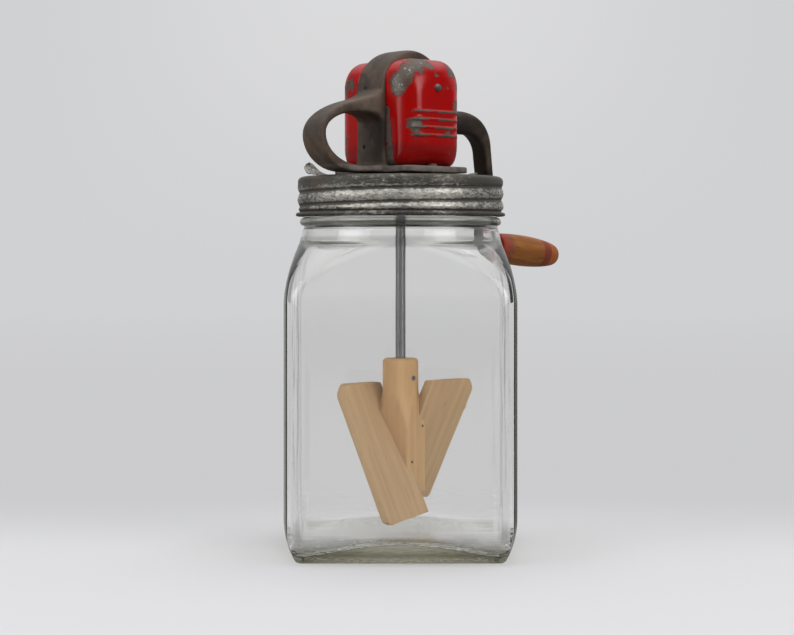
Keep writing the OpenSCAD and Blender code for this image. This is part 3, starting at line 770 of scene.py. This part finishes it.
def dress(material, *nodes):
    """Gives CAD nodes that stay in view a finish."""
    for node in nodes:
        mesh = frame["nodes"][node].data
        mesh.materials.clear()
        mesh.materials.append(material)


# Jar

def jar_outline(turn, half, reach):
    """Radius, in the direction turn, of a square with round corners."""
    root = math.sqrt(2)
    corner = min(half - 0.5, (half * root - reach) / (root - 1))
    fold = abs((turn + math.pi / 4) % (math.pi / 2) - math.pi / 4)
    if half * math.tan(fold) <= half - corner:
        return half / math.cos(fold)
    middle = half - corner
    along = middle * (math.cos(fold) + math.sin(fold))
    return along + math.sqrt(max(0, along * along - 2 * middle * middle + corner * corner))


def jar_radius(turn, z, inset):
    """Radius of the jar's skin at height z, drawn in by inset."""
    if z >= NECK_Z:
        return NECK_R - inset
    half = JAR_HALF - inset
    top = NECK_R + 0.4 - inset
    wide = half * math.sqrt(2) - (CORNER_R - inset) * (math.sqrt(2) - 1)
    t = max(0, (z - SHOULDER_Z) / (NECK_Z - SHOULDER_Z))
    t_corner = t * (NECK_Z - SHOULDER_Z) / (NECK_Z - SHOULDER_ROUND - SHOULDER_Z)
    h = max(0, (HEEL_H - z) / HEEL_H)
    half_here = half - (half - top) * t ** SHOULDER_EASE - HEEL_IN * h * h
    spread = (wide - top) * (1 - t_corner ** CORNER_EASE)
    spread = (spread + math.hypot(spread, 2 * NECK_FILLET)) / 2
    return jar_outline(turn, half_here, top + spread - HEEL_IN * h * h)


def corner_turn(turn):
    """Moves an even turn so that more than half of the points fall on the round corners."""
    quarter = math.pi / 2
    face = round(turn / quarter) * quarter
    share = abs(turn - face) / (quarter / 2)
    middle = JAR_HALF - CORNER_R
    if share < FLAT_SHARE:
        shift = math.atan(share / FLAT_SHARE * middle / JAR_HALF)
    else:
        bend = (share - FLAT_SHARE) / (1 - FLAT_SHARE) * quarter / 2
        shift = math.atan2(middle + CORNER_R * math.sin(bend), middle + CORNER_R * math.cos(bend))
    return face + math.copysign(shift, turn - face)


def neck_relief(turn, z):
    """Bead and screw thread that stand out of the neck."""
    bead = max(0, BEAD_R ** 2 - (z - BEAD_Z) ** 2) ** 0.5
    climb = (z - LID_Z0 - 3) / RING_PITCH - (turn / (2 * math.pi)) % 1
    wave = max(0, math.cos(2 * math.pi * climb))
    live = ease_between(LID_Z0 + 2, LID_Z0 + 6, z) * (1 - ease_between(RIM_Z - 6, RIM_Z - 3, z))
    return bead + THREAD_RISE * wave * live


def make_jar(material):
    """Section points are (share, height): 0 axis, 1 inner wall, 2 outer wall."""
    foot = [(0, 2.2), (0.5, 2.0), (0.85, 1.2), (1.1, 0.2), (1.3, 0),
            (1.72, 0.08), (1.92, 0.6), (1.99, 1.5)]
    outer = (steps_between(3, HEEL_H, 10) + steps_between(HEEL_H, SHOULDER_Z, 6)
             + steps_between(SHOULDER_Z, NECK_Z, 34) + steps_between(NECK_Z, RIM_Z - 2, 54))
    rim = [(2, RIM_Z - 2), (1.9, RIM_Z - 0.7), (1.7, RIM_Z), (1.3, RIM_Z), (1.1, RIM_Z - 0.7)]
    inner = (steps_between(RIM_Z - 2, NECK_Z, 6) + steps_between(NECK_Z, SHOULDER_Z, 34)
             + steps_between(SHOULDER_Z, HEEL_H, 6) + steps_between(HEEL_H, FLOOR_Z + 5, 4))
    floor = [(1, 5), (0.995, 3), (0.975, 1.5), (0.94, 0.5), (0.88, 0.1),
             (0.8, 0), (0.66, 0), (0.5, 0), (0.25, 0), (0, 0)]
    section = (foot + [(2, z) for z in outer] + rim + [(1, z) for z in inner]
               + [(share, FLOOR_Z + rise) for share, rise in floor])
    bm = lathe(section, 320)
    for vert in bm.verts:
        share = math.hypot(vert.co.x, vert.co.y) / MM
        turn = corner_turn(math.atan2(vert.co.y, vert.co.x))
        z = vert.co.z / MM
        inside = jar_radius(turn, z, WALL)
        radius = share * inside
        if share > 1.001:
            outside = jar_radius(turn, z, 0) + neck_relief(turn, z)
            radius = inside + (share - 1) * (outside - inside)
        elif z > FLOOR_Z - 1:
            sink = FLOOR_DROP * ease_between(50, 90, radius)
            z -= sink * max(0, 1 - (z - FLOOR_Z) / 26)
        vert.co = Vector((radius * math.cos(turn), radius * math.sin(turn), z)) * MM
    bmesh.ops.recalc_face_normals(bm, faces=bm.faces)
    make_piece("jar_glass", bm, material, "jar", ["jar"], sharp=60)


# Lid and shutter

def make_lid(material):
    flat_r = VALLEY_R + 1.3 - LID_EDGE_R
    skirt_top = LID_TOP - LID_EDGE_R
    pressed = [(55, -LID_SUNK), (56.5, -LID_SUNK), (57.3, -0.15), (58.2, 0)]
    pressed = [(radius, LID_TOP + up) for radius, up in pressed]
    edge = arc_points((flat_r, skirt_top), LID_EDGE_R, 90, 8, 8)
    skirt = [(VALLEY_R, z) for z in steps_between(skirt_top - 0.6, LID_Z0 + 2.6, 84)]
    lip = [(0.5, 2.5), (1.3, 2.3), (2.1, 2.0), (2.6, 1.4), (2.6, 0.7), (2.2, 0.1), (1.6, 0)]
    section = pressed + edge + skirt + [(VALLEY_R + out, LID_Z0 + up) for out, up in lip]
    bm = lathe(section, 224)
    for vert in bm.verts:
        z = vert.co.z / MM
        radius = math.hypot(vert.co.x, vert.co.y) / MM
        if abs(radius - VALLEY_R) > 0.01:
            continue
        turn = math.atan2(vert.co.y, vert.co.x) + math.pi / 2
        phase = (z - VALLEY_Z) / RING_PITCH - turn / (2 * math.pi)
        wave = abs(math.sin(math.pi * phase))
        above = ease_between(skirt_top - 5, skirt_top - 0.6, z)
        below = 1 - ease_between(LID_Z0 + 2.6, LID_Z0 + 5, z)
        out = RING_RISE * wave * (1 - above) * (1 - below) + 1.25 * above
        vert.co.x *= (radius + out) / radius
        vert.co.y *= (radius + out) / radius
    rims = [e for e in bm.edges if e.is_boundary and e.verts[0].co.z > (LID_TOP - 1) * MM]
    holes = [((0, 0), GUIDE_R + 0.4, 64)]
    vent = (VENT_R * math.cos(VENT_YAW), VENT_R * math.sin(VENT_YAW))
    holes += [((side * vent[0], side * vent[1]), VENT_D / 2, 40) for side in (-1, 1)]
    for (x, y), radius, segments in holes:
        rims += hole_edges(bm, (x, y, LID_TOP - LID_SUNK), radius, segments)
    bmesh.ops.triangle_fill(bm, edges=rims, use_beauty=True, use_dissolve=False)
    tidy(bm)
    piece = make_piece("threaded_lid", bm, material, "top", ["screw_lid"], sharp=50)
    sheet_wall(piece, LID_T)


def make_shutter(material):
    """Strip on the rod guide, with a scooped finger tab at its left end."""
    bm = bmesh.new()
    half = SHUTTER_W / 2
    tab_root = -46.0
    hub_r = GUIDE_R + 6
    bulge = math.degrees(math.asin(half / hub_r))
    outline = [(tab_root, -half)]
    outline += arc_points((0, 0), hub_r, 180 + bulge, 360 - bulge, 10)
    outline += arc_points((TAIL_REACH - half, 0), half, -90, 90, 14)
    outline += arc_points((0, 0), hub_r, bulge, 180 - bulge, 10) + [(tab_root, half)]
    loop = [bm.verts.new((x * MM, y * MM, SHUTTER_Z * MM)) for x, y in outline]
    edges = [bm.edges.new((a, b)) for a, b in zip(loop, loop[1:] + loop[:1])]
    edges += hole_edges(bm, (0, 0, SHUTTER_Z), GUIDE_R + 0.05, 48)
    bmesh.ops.triangle_fill(bm, edges=edges, use_beauty=True, use_dissolve=False)
    for vert in bm.verts:
        vert.co.z += TAIL_LIFT * MM * ease_between(45, TAIL_REACH, vert.co.x / MM)
    tab = bmesh.ops.create_grid(bm, x_segments=22, y_segments=14, size=1)["verts"]
    for vert in tab:
        t = (1 - vert.co.x) / 2
        side = vert.co.y
        wide = half * (1 - 0.36 * max(0, t - 0.45) ** 2 / 0.3)
        roll = 0.06 + 0.94 * ((side + 1) / 2) ** 1.3
        lift = TAB_LIFT * ease_between(0.0, 0.8, t) * roll
        x = tab_root - (TAB_REACH + tab_root) * t + 5.0 * side ** 4 * t ** 3
        vert.co = Vector((x, wide * side, SHUTTER_Z + lift)) * MM
    tidy(bm)
    piece = make_piece("vent_strip", bm, material, "shutter", ["vent_shutter"],
                       SHUTTER, sharp=50)
    sheet_wall(piece, SHUTTER_T, 1, even=False)


# Gear frame

def arch_line(half, top):
    """Up one leg, over the crown and down the other leg."""
    foot = PLATE_Z1 - 2
    spring = top - half
    left = [(-half, z) for z in steps_between(foot, spring, 7)]
    crown = [(-x, z) for x, z in arc_points((0, spring), half, 0, 180, 28)]
    right = [(-u, z) for u, z in reversed(left)]
    return left + crown + right


def make_gear_frame(material):
    leg_in = ARCH_R - LEG_T
    outer = arch_line(ARCH_R, ARCH_Z)
    inner = arch_line(leg_in, ARCH_Z - CROWN_T)
    foot = [1 + 0.12 * (1 - ease_between(PLATE_Z1, PLATE_Z1 + 9, z)) for _, z in outer]
    rear_edge = REAR_OPEN + 1.6
    band_w = COVER_OPEN + rear_edge
    square = [10 - 5.5 * ease_between(ARCH_Z - 22, ARCH_Z - 4, z) for _, z in outer]
    bm = strap(outer, inner, [band_w * f for f in foot], square, points=48,
               aside=(rear_edge - COVER_OPEN) / 2)
    top = SHAFT_Z + 13
    middle = SHAFT_Z - 13
    reach = LOOP_REACH
    inside = LOOP_REACH - LOOP_T
    root = -leg_in - 1.5
    neck = -0.56 * reach
    over = curve_chain(
        (root, top + 8),
        ((-ARCH_R - 1.5, top + 1.5), (-ARCH_R - 6, top), (neck, top - 2.6), 14),
        ((neck - 16, top - 6), (-reach, top - 14), (-reach, middle), 14),
        ((-reach, middle - 11), (-0.85 * reach, PLATE_Z0), (-0.62 * reach, PLATE_Z0), 18),
    ) + [(root, PLATE_Z0)]
    under = curve_chain(
        (root, top - 20),
        ((-ARCH_R - 1.5, top - 13), (-ARCH_R - 6, top - 11), (neck, top - 11), 14),
        ((neck - 13, top - 11), (-inside, top - 16), (-inside, middle + 1), 14),
        ((-inside, middle - 9), (-0.83 * inside, PLATE_Z1), (-0.55 * inside, PLATE_Z1), 18),
    ) + [(root, PLATE_Z1 + 2)]
    widths = []
    for u, _ in over:
        flare = 1 - ease_between(0, 21, -u - ARCH_R)
        widths.append(LOOP_W + 0.8 + (band_w - 1 - LOOP_W) * flare)
    strap(over, under, widths, [8] * len(over), bm, points=48, aside=-0.6)
    plate = box_block(bm, (-PLATE_L / 2, -PLATE_W / 2, PLATE_Z0),
                      (PLATE_L / 2, PLATE_W / 2, PLATE_Z1))
    uprights = [
        edge for edge in {e for v in plate for e in v.link_edges}
        if abs(edge.verts[0].co.z - edge.verts[1].co.z) > MM
    ]
    round_edges(bm, uprights, 5, 6)
    bar(bm, (0, 0, PLATE_Z0 - 10), (0, 0, PLATE_Z0 + 1), GUIDE_R)
    for side in (-1, 1):
        middle_y = side * LUG_Y
        box_block(bm, (-LUG_HALF, middle_y - LUG_HALF, LID_TOP),
                  (LUG_HALF, middle_y + LUG_HALF, PLATE_Z0 + 1))
    bar(bm, (leg_in - 2, 0, SHAFT_Z), (ARCH_R + 1, 0, SHAFT_Z), BOSS_R)
    piece = make_piece("cast_frame", bm, material, "top", ["gear_frame"], TOP)
    cast_skin(piece, 0.7, 6)


# Covers

def make_cover(name, material, node, place, opening):
    """Pressed shell with a crowned face, round edges and rolled ribs."""
    middle_z = (PLATE_Z1 + COVER_Z1) / 2
    half_u, half_z = COVER_L / 2, (COVER_Z1 - PLATE_Z1) / 2
    roll = 13.0
    levels = [(0, n) for n in steps_between(-opening, roll - COVER_REACH, 4)]
    for i in range(13):
        bend = math.radians(i * 90 / 12)
        levels.append((roll * (1 - math.cos(bend)), roll - COVER_REACH - roll * math.sin(bend)))
    rings = []
    for inset, n in levels:
        wide, tall = half_u - inset, half_z - inset
        ring = []
        for quarter, (su, sz) in enumerate(((1, 1), (-1, 1), (-1, -1), (1, -1))):
            corner = COVER_CORNER if sz > 0 else min(COVER_CORNER, 5 + 1.6 * inset)
            corner = min(corner, wide - 0.6)
            centre = (su * (wide - corner), middle_z + sz * (tall - corner))
            arc = arc_points(centre, corner, quarter * 90, quarter * 90 + 90, 12)
            ring += [(u, n, z) for u, z in arc]
        rings.append(ring)
    bm = skin(rings)
    open_side = -opening * MM
    back = [f for f in bm.faces if all(abs(v.co.y - open_side) < 1e-7 for v in f.verts)]
    bmesh.ops.delete(bm, geom=back, context="FACES_ONLY")
    rib_top = RIB_MID_Z + (RIB_COUNT - 1) / 2 * RIB_PITCH
    rib_low = rib_top - (RIB_COUNT - 1) * RIB_PITCH
    levels = steps_between(rib_low - 3.5, rib_top + 3.5, 44)
    levels += steps_between(PLATE_Z1 + 4, rib_low - 4, 5)
    levels += steps_between(rib_top + 4, COVER_Z1 - 3, 9)
    for z in levels:
        cut_plane(bm, (0, 0, z * MM), (0, 0, 1))
    for u in steps_between(-23, 25, 24):
        cut_plane(bm, (u * MM, 0, 0), (1, 0, 0))
    for vert in bm.verts:
        u, n, z = vert.co / MM
        front = ease_between(COVER_REACH - 12, COVER_REACH, -n)
        crown = FACE_CROWN * front * (1 - (u / 25) ** 2) * (1 - ((z - middle_z) / 35) ** 2)
        gap = min(abs(z - rib_low - i * RIB_PITCH) for i in range(RIB_COUNT))
        rib = math.exp(-(gap / RIB_WIDTH) ** 2)
        ends = 1 - ease_between(17.5, 21.5, abs(u))
        vert.co.y -= (crown + RIB_RISE * rib * ends * front) * MM
    bmesh.ops.recalc_face_normals(bm, faces=bm.faces)
    piece = make_piece(name, bm, material, "top", [node], place, sharp=60)
    sheet_wall(piece, COVER_T)


def make_cover_screws(material):
    """Domed, slotted heads on both covers, with their shanks."""
    bm = bmesh.new()
    dome = [(0, 2.2), (1.0, 2.05), (1.9, 1.6), (2.5, 0.9), (2.7, 0),
            (2.0, 0), (2.0, -20), (0, -20)]
    seat = -COVER_REACH - 0.55
    for turn in (0, math.pi):
        head = lathe(dome, 36)
        slot_half, slot_low = 0.45 * MM, 1.35 * MM
        for vert in head.verts:
            if abs(vert.co.x) < slot_half and vert.co.z > slot_low:
                vert.co.z = slot_low
        place = (Matrix.Rotation(turn, 4, "Z")
                 @ Matrix.Translation((0, seat * MM, SCREW_Z * MM))
                 @ Matrix.Rotation(math.pi / 2, 4, "X"))
        bmesh.ops.transform(head, matrix=place, verts=head.verts)
        mesh = mesh_from("screw_draft", head)
        bm.from_mesh(mesh)
        bpy.data.meshes.remove(mesh)
    make_piece("cover_screw_heads", bm, material, "top", ["cover_screws"], TOP)


# Crank

def make_crank_arm(material):
    hub_r = CRANK_HUB_D / 2
    bend_r, bend_in_r = 27, 18
    bend = (ARM_REACH - bend_r, SHAFT_Z + hub_r - bend_r)
    bend_in = (ARM_REACH - ARM_T - bend_in_r, SHAFT_Z - hub_r - bend_in_r)
    eye_u = SEAT_HERE.x
    eye_z = SHAFT_Z - CRANK_THROW
    start = ARCH_R + 1.4
    outer = [(u, SHAFT_Z + hub_r) for u in steps_between(start, bend[0], 5)]
    outer += arc_points(bend, bend_r, 90, 14, 16)
    inner = [(u, SHAFT_Z - hub_r) for u in steps_between(start, bend_in[0], 5)]
    inner += arc_points(bend_in, bend_in_r, 90, 14, 16)
    sweep_out = curve_points(outer[-1], (outer[-1][0] + 3.9, outer[-1][1] - 15.5),
                             (eye_u - 4, eye_z + 22), (eye_u + ARM_T / 2, eye_z - 1), 12)
    sweep_in = curve_points(inner[-1], (inner[-1][0] + 3.5, inner[-1][1] - 14),
                            (eye_u - ARM_T - 4.2, eye_z + 22), (eye_u - ARM_T / 2, eye_z - 1), 12)
    outer += sweep_out[1:]
    inner += sweep_in[1:]
    flat = [ease_between(4, 16, i) for i in range(len(outer))]
    squares = [2.2 + 2.6 * share for share in flat]
    widths = [CRANK_HUB_D + (ARM_W - CRANK_HUB_D) * share for share in flat]
    bm = strap(outer, inner, widths, squares, points=36)
    axis = HANGING.inverted().to_3x3() @ KNOB_AXIS
    eye = Vector((eye_u, 0, eye_z))
    bar(bm, eye - axis * ARM_T / 2, eye + axis * ARM_T / 2, EYE_D / 2)
    piece = make_piece("cast_crank_arm", bm, material, "crank", ["crank_arm"],
                       HANGING)
    cast_skin(piece, 0.6, 4)


def make_knob(material):
    """Turned grip: square shoulder, long barrel and a domed end with a sunk rivet."""
    r = KNOB_R
    long = KNOB_L
    barrel = curve_chain(
        (0.93 * r, 3.0),
        ((1.08 * r, 0.35 * long), (1.03 * r, 0.65 * long), (0.82 * r, 0.87 * long), 20),
        ((0.74 * r, 0.95 * long), (0.66 * r, long), (0.50 * r, long), 10),
    )
    bore_r, sunk_r, sunk_z = 2.6, 4.9, long - 3.3
    section = [(bore_r, 0), (0.80 * r, 0), (0.87 * r, 0.4), (0.91 * r, 1.4)] + barrel
    section += [(sunk_r, long), (sunk_r, sunk_z), (bore_r, sunk_z), (bore_r, 0)]
    bm = lathe([(radius, KNOB_START + z) for radius, z in section], 72)
    make_piece("turned_knob", bm, material, "knob", ["crank_knob"], KNOB)


def make_knob_spindle(material):
    """Pin through the eye and the knob, with a head at each end."""
    bm = bmesh.new()
    near = -ARM_T / 2
    far = KNOB_START + KNOB_L - 1.2
    shank_r, head_r, head_t = 2.5, 4.5, 1.5
    bar(bm, (0, 0, near - head_t), (0, 0, far), shank_r)
    bar(bm, (0, 0, near - head_t), (0, 0, near), head_r)
    bar(bm, (0, 0, far - 2), (0, 0, far), head_r)
    make_piece("knob_pin", bm, material, "crank", ["knob_spindle"], KNOB)


# Dasher

def make_hub(material):
    """Square block whose upper end is turned round."""
    points = 96
    turned_z = HUB_HIGH - HUB_TURNED
    trims = {
        HUB_LOW: 0.9, HUB_LOW + 0.25: 0.4, HUB_LOW + 0.8: 0, HUB_HIGH - 2.2: 0,
        HUB_HIGH - 1.3: 0.25, HUB_HIGH - 0.6: 0.75, HUB_HIGH - 0.15: 1.45, HUB_HIGH: 2.2,
    }
    levels = steps_between(HUB_LOW + 8, turned_z - 26, 4)
    levels += steps_between(turned_z - 26, turned_z, 26)
    levels += steps_between(turned_z, HUB_HIGH - 2.2, 5)
    rings = []
    for z in sorted({*levels, *trims}):
        cone = HUB_R + 0.03 + max(0, turned_z - z) * HUB_TAPER
        trim = trims.get(z, 0)
        ring = []
        for i in range(points):
            turn = 2 * math.pi * i / points
            if z >= turned_z:
                radius = HUB_R
            else:
                square = jar_outline(turn, BLOCK_HALF, BLOCK_HALF * math.sqrt(2) - 0.35)
                radius = min(square, cone)
            radius -= trim
            ring.append((radius * math.cos(turn), radius * math.sin(turn), z))
        rings.append(ring)
    bm = skin(rings)
    make_piece("dasher_block", bm, material, "dasher", ["dasher_hub"],
               BLOCK, sharp=35)


def make_paddle(name, material, node, place, board):
    """Slanted board with a cut upper corner and eased edges."""
    bm = bmesh.new()
    middle = (PADDLE_LOW + PADDLE_HIGH) / 2
    inner, reach, aside, low, high = board
    foot_in, foot_out = 2.5, -2.2
    box_block(bm, (inner, -PADDLE_T / 2, low), (reach, PADDLE_T / 2, high))
    for vert in bm.verts:
        if vert.co.z < middle * MM:
            vert.co.z += (foot_in if vert.co.x < (inner + reach) / 2 * MM else foot_out) * MM
        vert.co.y += aside * MM - (vert.co.z - middle * MM) * math.tan(PADDLE_SLANT)
    corner = Vector((reach, 0, high - PADDLE_EAR)) * MM
    cut = cut_plane(bm, corner, (1, 0, 1), clear_outer=True)
    bmesh.ops.edgeloop_fill(bm, edges=[g for g in cut if isinstance(g, bmesh.types.BMEdge)])
    bmesh.ops.recalc_face_normals(bm, faces=bm.faces)
    ears = [
        edge for edge in bm.edges
        if all(v.co.x > (reach - PADDLE_EAR - 1) * MM for v in edge.verts)
        and abs(edge.verts[0].co.x - edge.verts[1].co.x) < 0.1 * MM
        and abs(edge.verts[0].co.z - edge.verts[1].co.z) < PADDLE_T * MM
    ]
    round_edges(bm, ears, 2.5, 5)
    round_edges(bm, [edge for edge in bm.edges if edge.calc_face_angle(0) > 0.7], 0.8, 3)
    make_piece(name, bm, material, "dasher", [node], place, sharp=35)


def make_nails(material):
    """Nails through the boards into the block, with small round heads."""
    bm = bmesh.new()
    for head in NAIL_HEADS:
        head = Vector(head)
        bar(bm, head - NAIL_WAY * NAIL_SUNK, head + NAIL_WAY * NAIL_OUT, NAIL_R, segments=20)
    make_piece("board_nails", bm, material, "dasher", ["paddle_nails"])


# Stage

PHOTO_W, PHOTO_H = 794, 635
CAMERA_BACK = 1.231
CAMERA_UP = 0.1897
FOCAL_PX = 1900
SENSOR_MM = 36
AXIS_PX = (400.5, 255)
BACKDROP = (0.635, 0.635 * 1.005, 0.635 * 1.02)
CARD_GLOW = 1.4
SWEEP_R = 40
SWEEP_DROP = 0.0002
# Softboxes: name, place, width, height, watts
SOFTBOXES = (
    ("softbox_left", (-1.30, -0.75, 0.75), 1.15, 1.25, 12.0),
    ("softbox_right", (1.20, -0.95, 0.75), 1.15, 1.25, 13.5),
    ("softbox_top", (0.05, 0.20, 1.75), 1.20, 1.20, 10.0),
)
AIM = Vector((0, 0, 0.2))


def make_camera():
    camera = bpy.data.cameras.new("photo_camera")
    camera.sensor_width = SENSOR_MM
    camera.lens = SENSOR_MM * FOCAL_PX / PHOTO_W
    camera.shift_x = (PHOTO_W / 2 - AXIS_PX[0]) / PHOTO_W
    camera.shift_y = (AXIS_PX[1] - PHOTO_H / 2) / PHOTO_W
    camera.clip_start = 0.01
    holder = place_object("photo_camera", camera)
    holder.location = (0, -CAMERA_BACK, CAMERA_UP)
    holder.rotation_euler = (math.pi / 2, 0, 0)
    bpy.context.scene.camera = holder


def make_lights():
    for name, spot, wide, tall, power_w in SOFTBOXES:
        lamp = bpy.data.lights.new(name, "AREA")
        lamp.shape = "RECTANGLE"
        lamp.size = wide
        lamp.size_y = tall
        lamp.energy = power_w
        holder = place_object(name, lamp)
        holder.location = spot
        holder.rotation_euler = (AIM - Vector(spot)).to_track_quat("-Z", "Y").to_euler()
        holder.visible_glossy = False
        make_card(name + "_card", holder, wide, tall, power_w / (math.pi * wide * tall))


def make_card(name, lamp, wide, tall, glow):
    """What gloss and glass mirror in a lamp's place: a panel that fades towards its edges."""
    bm = bmesh.new()
    bmesh.ops.create_grid(bm, x_segments=1, y_segments=1, size=0.5)
    place = Matrix.Translation(lamp.location) @ lamp.rotation_euler.to_matrix().to_4x4()
    bmesh.ops.transform(bm, matrix=place @ Matrix.Diagonal((wide, tall, 1, 1)), verts=bm.verts)
    mesh = mesh_from(name, bm)
    material, f = new_finish(name, place)
    fade = 1
    for axis, size in enumerate((wide, tall)):
        fade = (1 - f.ease(f.part(axis).size(), 0.08 * size, 0.5 * size)) * fade
    tone = f.mix(fade, (0, 0, 0), (1, 1, 1))
    f.output(f.glow(tone, CARD_GLOW * glow))
    mesh.materials.append(material)
    card = place_object(name, mesh)
    card.visible_camera = False
    card.visible_diffuse = False
    card.visible_transmission = False
    card.visible_shadow = False


def make_world():
    """Pale backdrop for what is seen, and a softer room for what is lit."""
    world = bpy.data.worlds.new("studio")
    world.use_nodes = True
    bpy.context.scene.world = world
    f = Finish(world.node_tree)
    seen = f.ray("Camera").most(f.ray("Transmission"))
    facing = f.node("TexCoord", out="Generated")
    sidelong, onward, upward = [f.part(axis, facing) for axis in range(3)]
    behind = f.ease(onward, -0.75, 0.25)
    soft = f.mix(behind, (0.20, 0.20, 0.205), (0.52, 0.52, 0.53))
    backdrop = f.ease(onward, 0.02, 0.55)
    left = f.ease(0 - sidelong, 0.35, 0.60)
    right = f.ease(sidelong, 0.35, 0.60)
    sharp = f.mix(backdrop, (0.045, 0.045, 0.047), (0.52, 0.52, 0.53))
    sharp = f.mix(left * 0.6, sharp, (0.34, 0.34, 0.34))
    overhead = f.ease(upward, 0.50, 0.85)
    sharp = f.mix(overhead, sharp, (1.50, 1.50, 1.50))
    room = f.mix(f.ray("Glossy"), soft, sharp)
    middle = 1 - f.ease(sidelong.size(), 0.03, 0.20)
    high = f.ease(upward, -0.02, 0.14) * middle
    wall = f.mix(high, BACKDROP, (0.705, 0.705, 0.715))
    wall = f.mix(left, wall, (0.36, 0.36, 0.355))
    wall = f.mix(right, wall, (0.035, 0.035, 0.032))
    tone = f.mix(seen, room, wall)
    ending = f.tree.nodes.new("ShaderNodeOutputWorld")
    f.feed(ending.inputs["Surface"], f.node("Background", inputs={"Color": tone}))


def make_floor():
    """Pale sweep that fades to the backdrop; bounced and mirrored rays see fixed greys."""
    bm = bmesh.new()
    bmesh.ops.create_circle(bm, cap_ends=True, segments=96, radius=SWEEP_R)
    mesh = mesh_from("studio_floor", bm)
    material, f = new_finish("studio_floor")
    away = f.ease(f.part(1), -0.02, 0.30)
    paper = f.node("BsdfDiffuse", inputs={"Color": (0.725, 0.725, 0.74)})
    far = f.ease(f.part(1), 0.4, 6.0)
    haze = f.mix(far, (0.600, 0.600, 0.612), BACKDROP)
    sweep = f.blend(away, paper, f.glow(haze))
    sweep = f.blend(f.ray("Diffuse"), sweep, f.glow((0.36, 0.36, 0.36)))
    mirrored = f.ray("Glossy") * (1 - f.ray("Transmission"))
    f.output(f.blend(mirrored, sweep, f.glow((0.16, 0.16, 0.16))))
    mesh.materials.append(material)
    floor = place_object("studio_floor", mesh)
    floor.location.z = -SWEEP_DROP


# Build

glass = clear_glass()
lid_tin = worn_tin(
    "worn_tin_lid", crest=(VALLEY_R + 0.15, VALLEY_R + 1.00), shade_z=(LID_TOP - 8, LID_TOP - 5),
)
shutter_tin = worn_tin("worn_tin_strip")
frame_iron = cast_iron(
    "frame_cast_iron", TOP, (0.046, 0.034, 0.026), (0.108, 0.076, 0.055), paler_below_z=PLATE_Z1,
    pits=(((-ARCH_R, 3.9, 296.3), 1.5), ((-ARCH_R, 5.2, 258.6), 2.2)),
)
crank_iron = cast_iron("crank_cast_iron", TOP, (0.022, 0.016, 0.012), (0.062, 0.041, 0.027))
gear_iron = cast_iron("gear_cast_iron", TOP, (0.055, 0.050, 0.046), (0.090, 0.070, 0.055))
# Worn spots: place in the cover's frame, size, weight
front_paint = chipped_paint("front_cover_paint", TOP, (
    ((-25, -23, 292), 11, 0.17),
    ((-24, -25, 300), 12, 0.19),
    ((-17, -29, 308), 12, 0.20),
    ((-8, -30, 311), 10, 0.19),
    ((-2, -32, 308), 7, 0.15),
    ((15, -33, 306), 9, 0.22),
    ((20, -31, 297), 7, 0.20),
    ((16, -34, 285), 7, 0.24),
    ((-17, -33, 272), 9, 0.24),
    ((-14, -35, 263), 6, 0.11),
    ((10, -36, 268), 8, 0.16),
    ((8, -35, 296), 6, 0.14),
    ((0, -35, 303), 5, 0.16),
), 0.24)
rear_paint = chipped_paint("rear_cover_paint", TOP @ HALF_TURN, (
    ((22, -24, 300), 15, 0.14),
    ((-20, -30, 305), 14, 0.16),
    ((24, -22, 262), 12, 0.10),
    ((0, -35, 262), 12, 0.10),
), 0.0)
board_turn = Matrix.Rotation(PADDLE_SLANT, 4, "X")
hub_wood = grained_wood(
    "dasher_block_wood", BLOCK, (0.535, 0.335, 0.165), (0.400, 0.232, 0.105)
)
front_wood = grained_wood(
    "front_paddle_wood", DASHER @ board_turn, (0.520, 0.350, 0.195), (0.385, 0.245, 0.128)
)
rear_wood = grained_wood(
    "rear_paddle_wood", DASHER @ HALF_TURN @ board_turn,
    (0.515, 0.340, 0.185), (0.375, 0.232, 0.115),
)
rod_steel = drawn_steel("rod_steel", (0.185, 0.185, 0.19), rough=0.26)
fitting_steel = drawn_steel("fitting_steel", (0.36, 0.34, 0.31), rough=0.42)
screw_steel = drawn_steel("screw_steel", (0.20, 0.19, 0.175), rough=0.36)
nail_steel = drawn_steel("nail_steel", (0.16, 0.15, 0.14), rough=0.45)

make_camera()
make_lights()
make_world()
make_floor()

make_jar(glass)
make_lid(lid_tin)
make_shutter(shutter_tin)
make_gear_frame(frame_iron)
make_cover("front_cover_shell", front_paint, "front_cover", TOP, COVER_OPEN)
make_cover("rear_cover_shell", rear_paint, "rear_cover", TOP @ HALF_TURN, REAR_OPEN)
make_cover_screws(screw_steel)
make_crank_arm(crank_iron)
make_knob(knob_finish(KNOB))
make_knob_spindle(fitting_steel)
make_hub(hub_wood)
make_paddle("front_paddle_board", front_wood, "front_paddle", DASHER, FRONT_BOARD)
make_paddle("rear_paddle_board", rear_wood, "rear_paddle", DASHER @ HALF_TURN, REAR_BOARD)
make_nails(nail_steel)

dress(sealing_rubber(), "lid_gasket")
dress(rod_steel, "dasher_rod", "crank_shaft")
dress(gear_iron, "drive_gear", "pinion")
dress(frame_iron, "frame_rivets")
dress(fitting_steel, "shaft_washer", "thrust_washer", "knob_washer",
      "drive_gear_pin", "crank_arm_pin", "pinion_pin")
dress(nail_steel, "dasher_pin")

bpy.context.scene.view_settings.view_transform = "Standard"
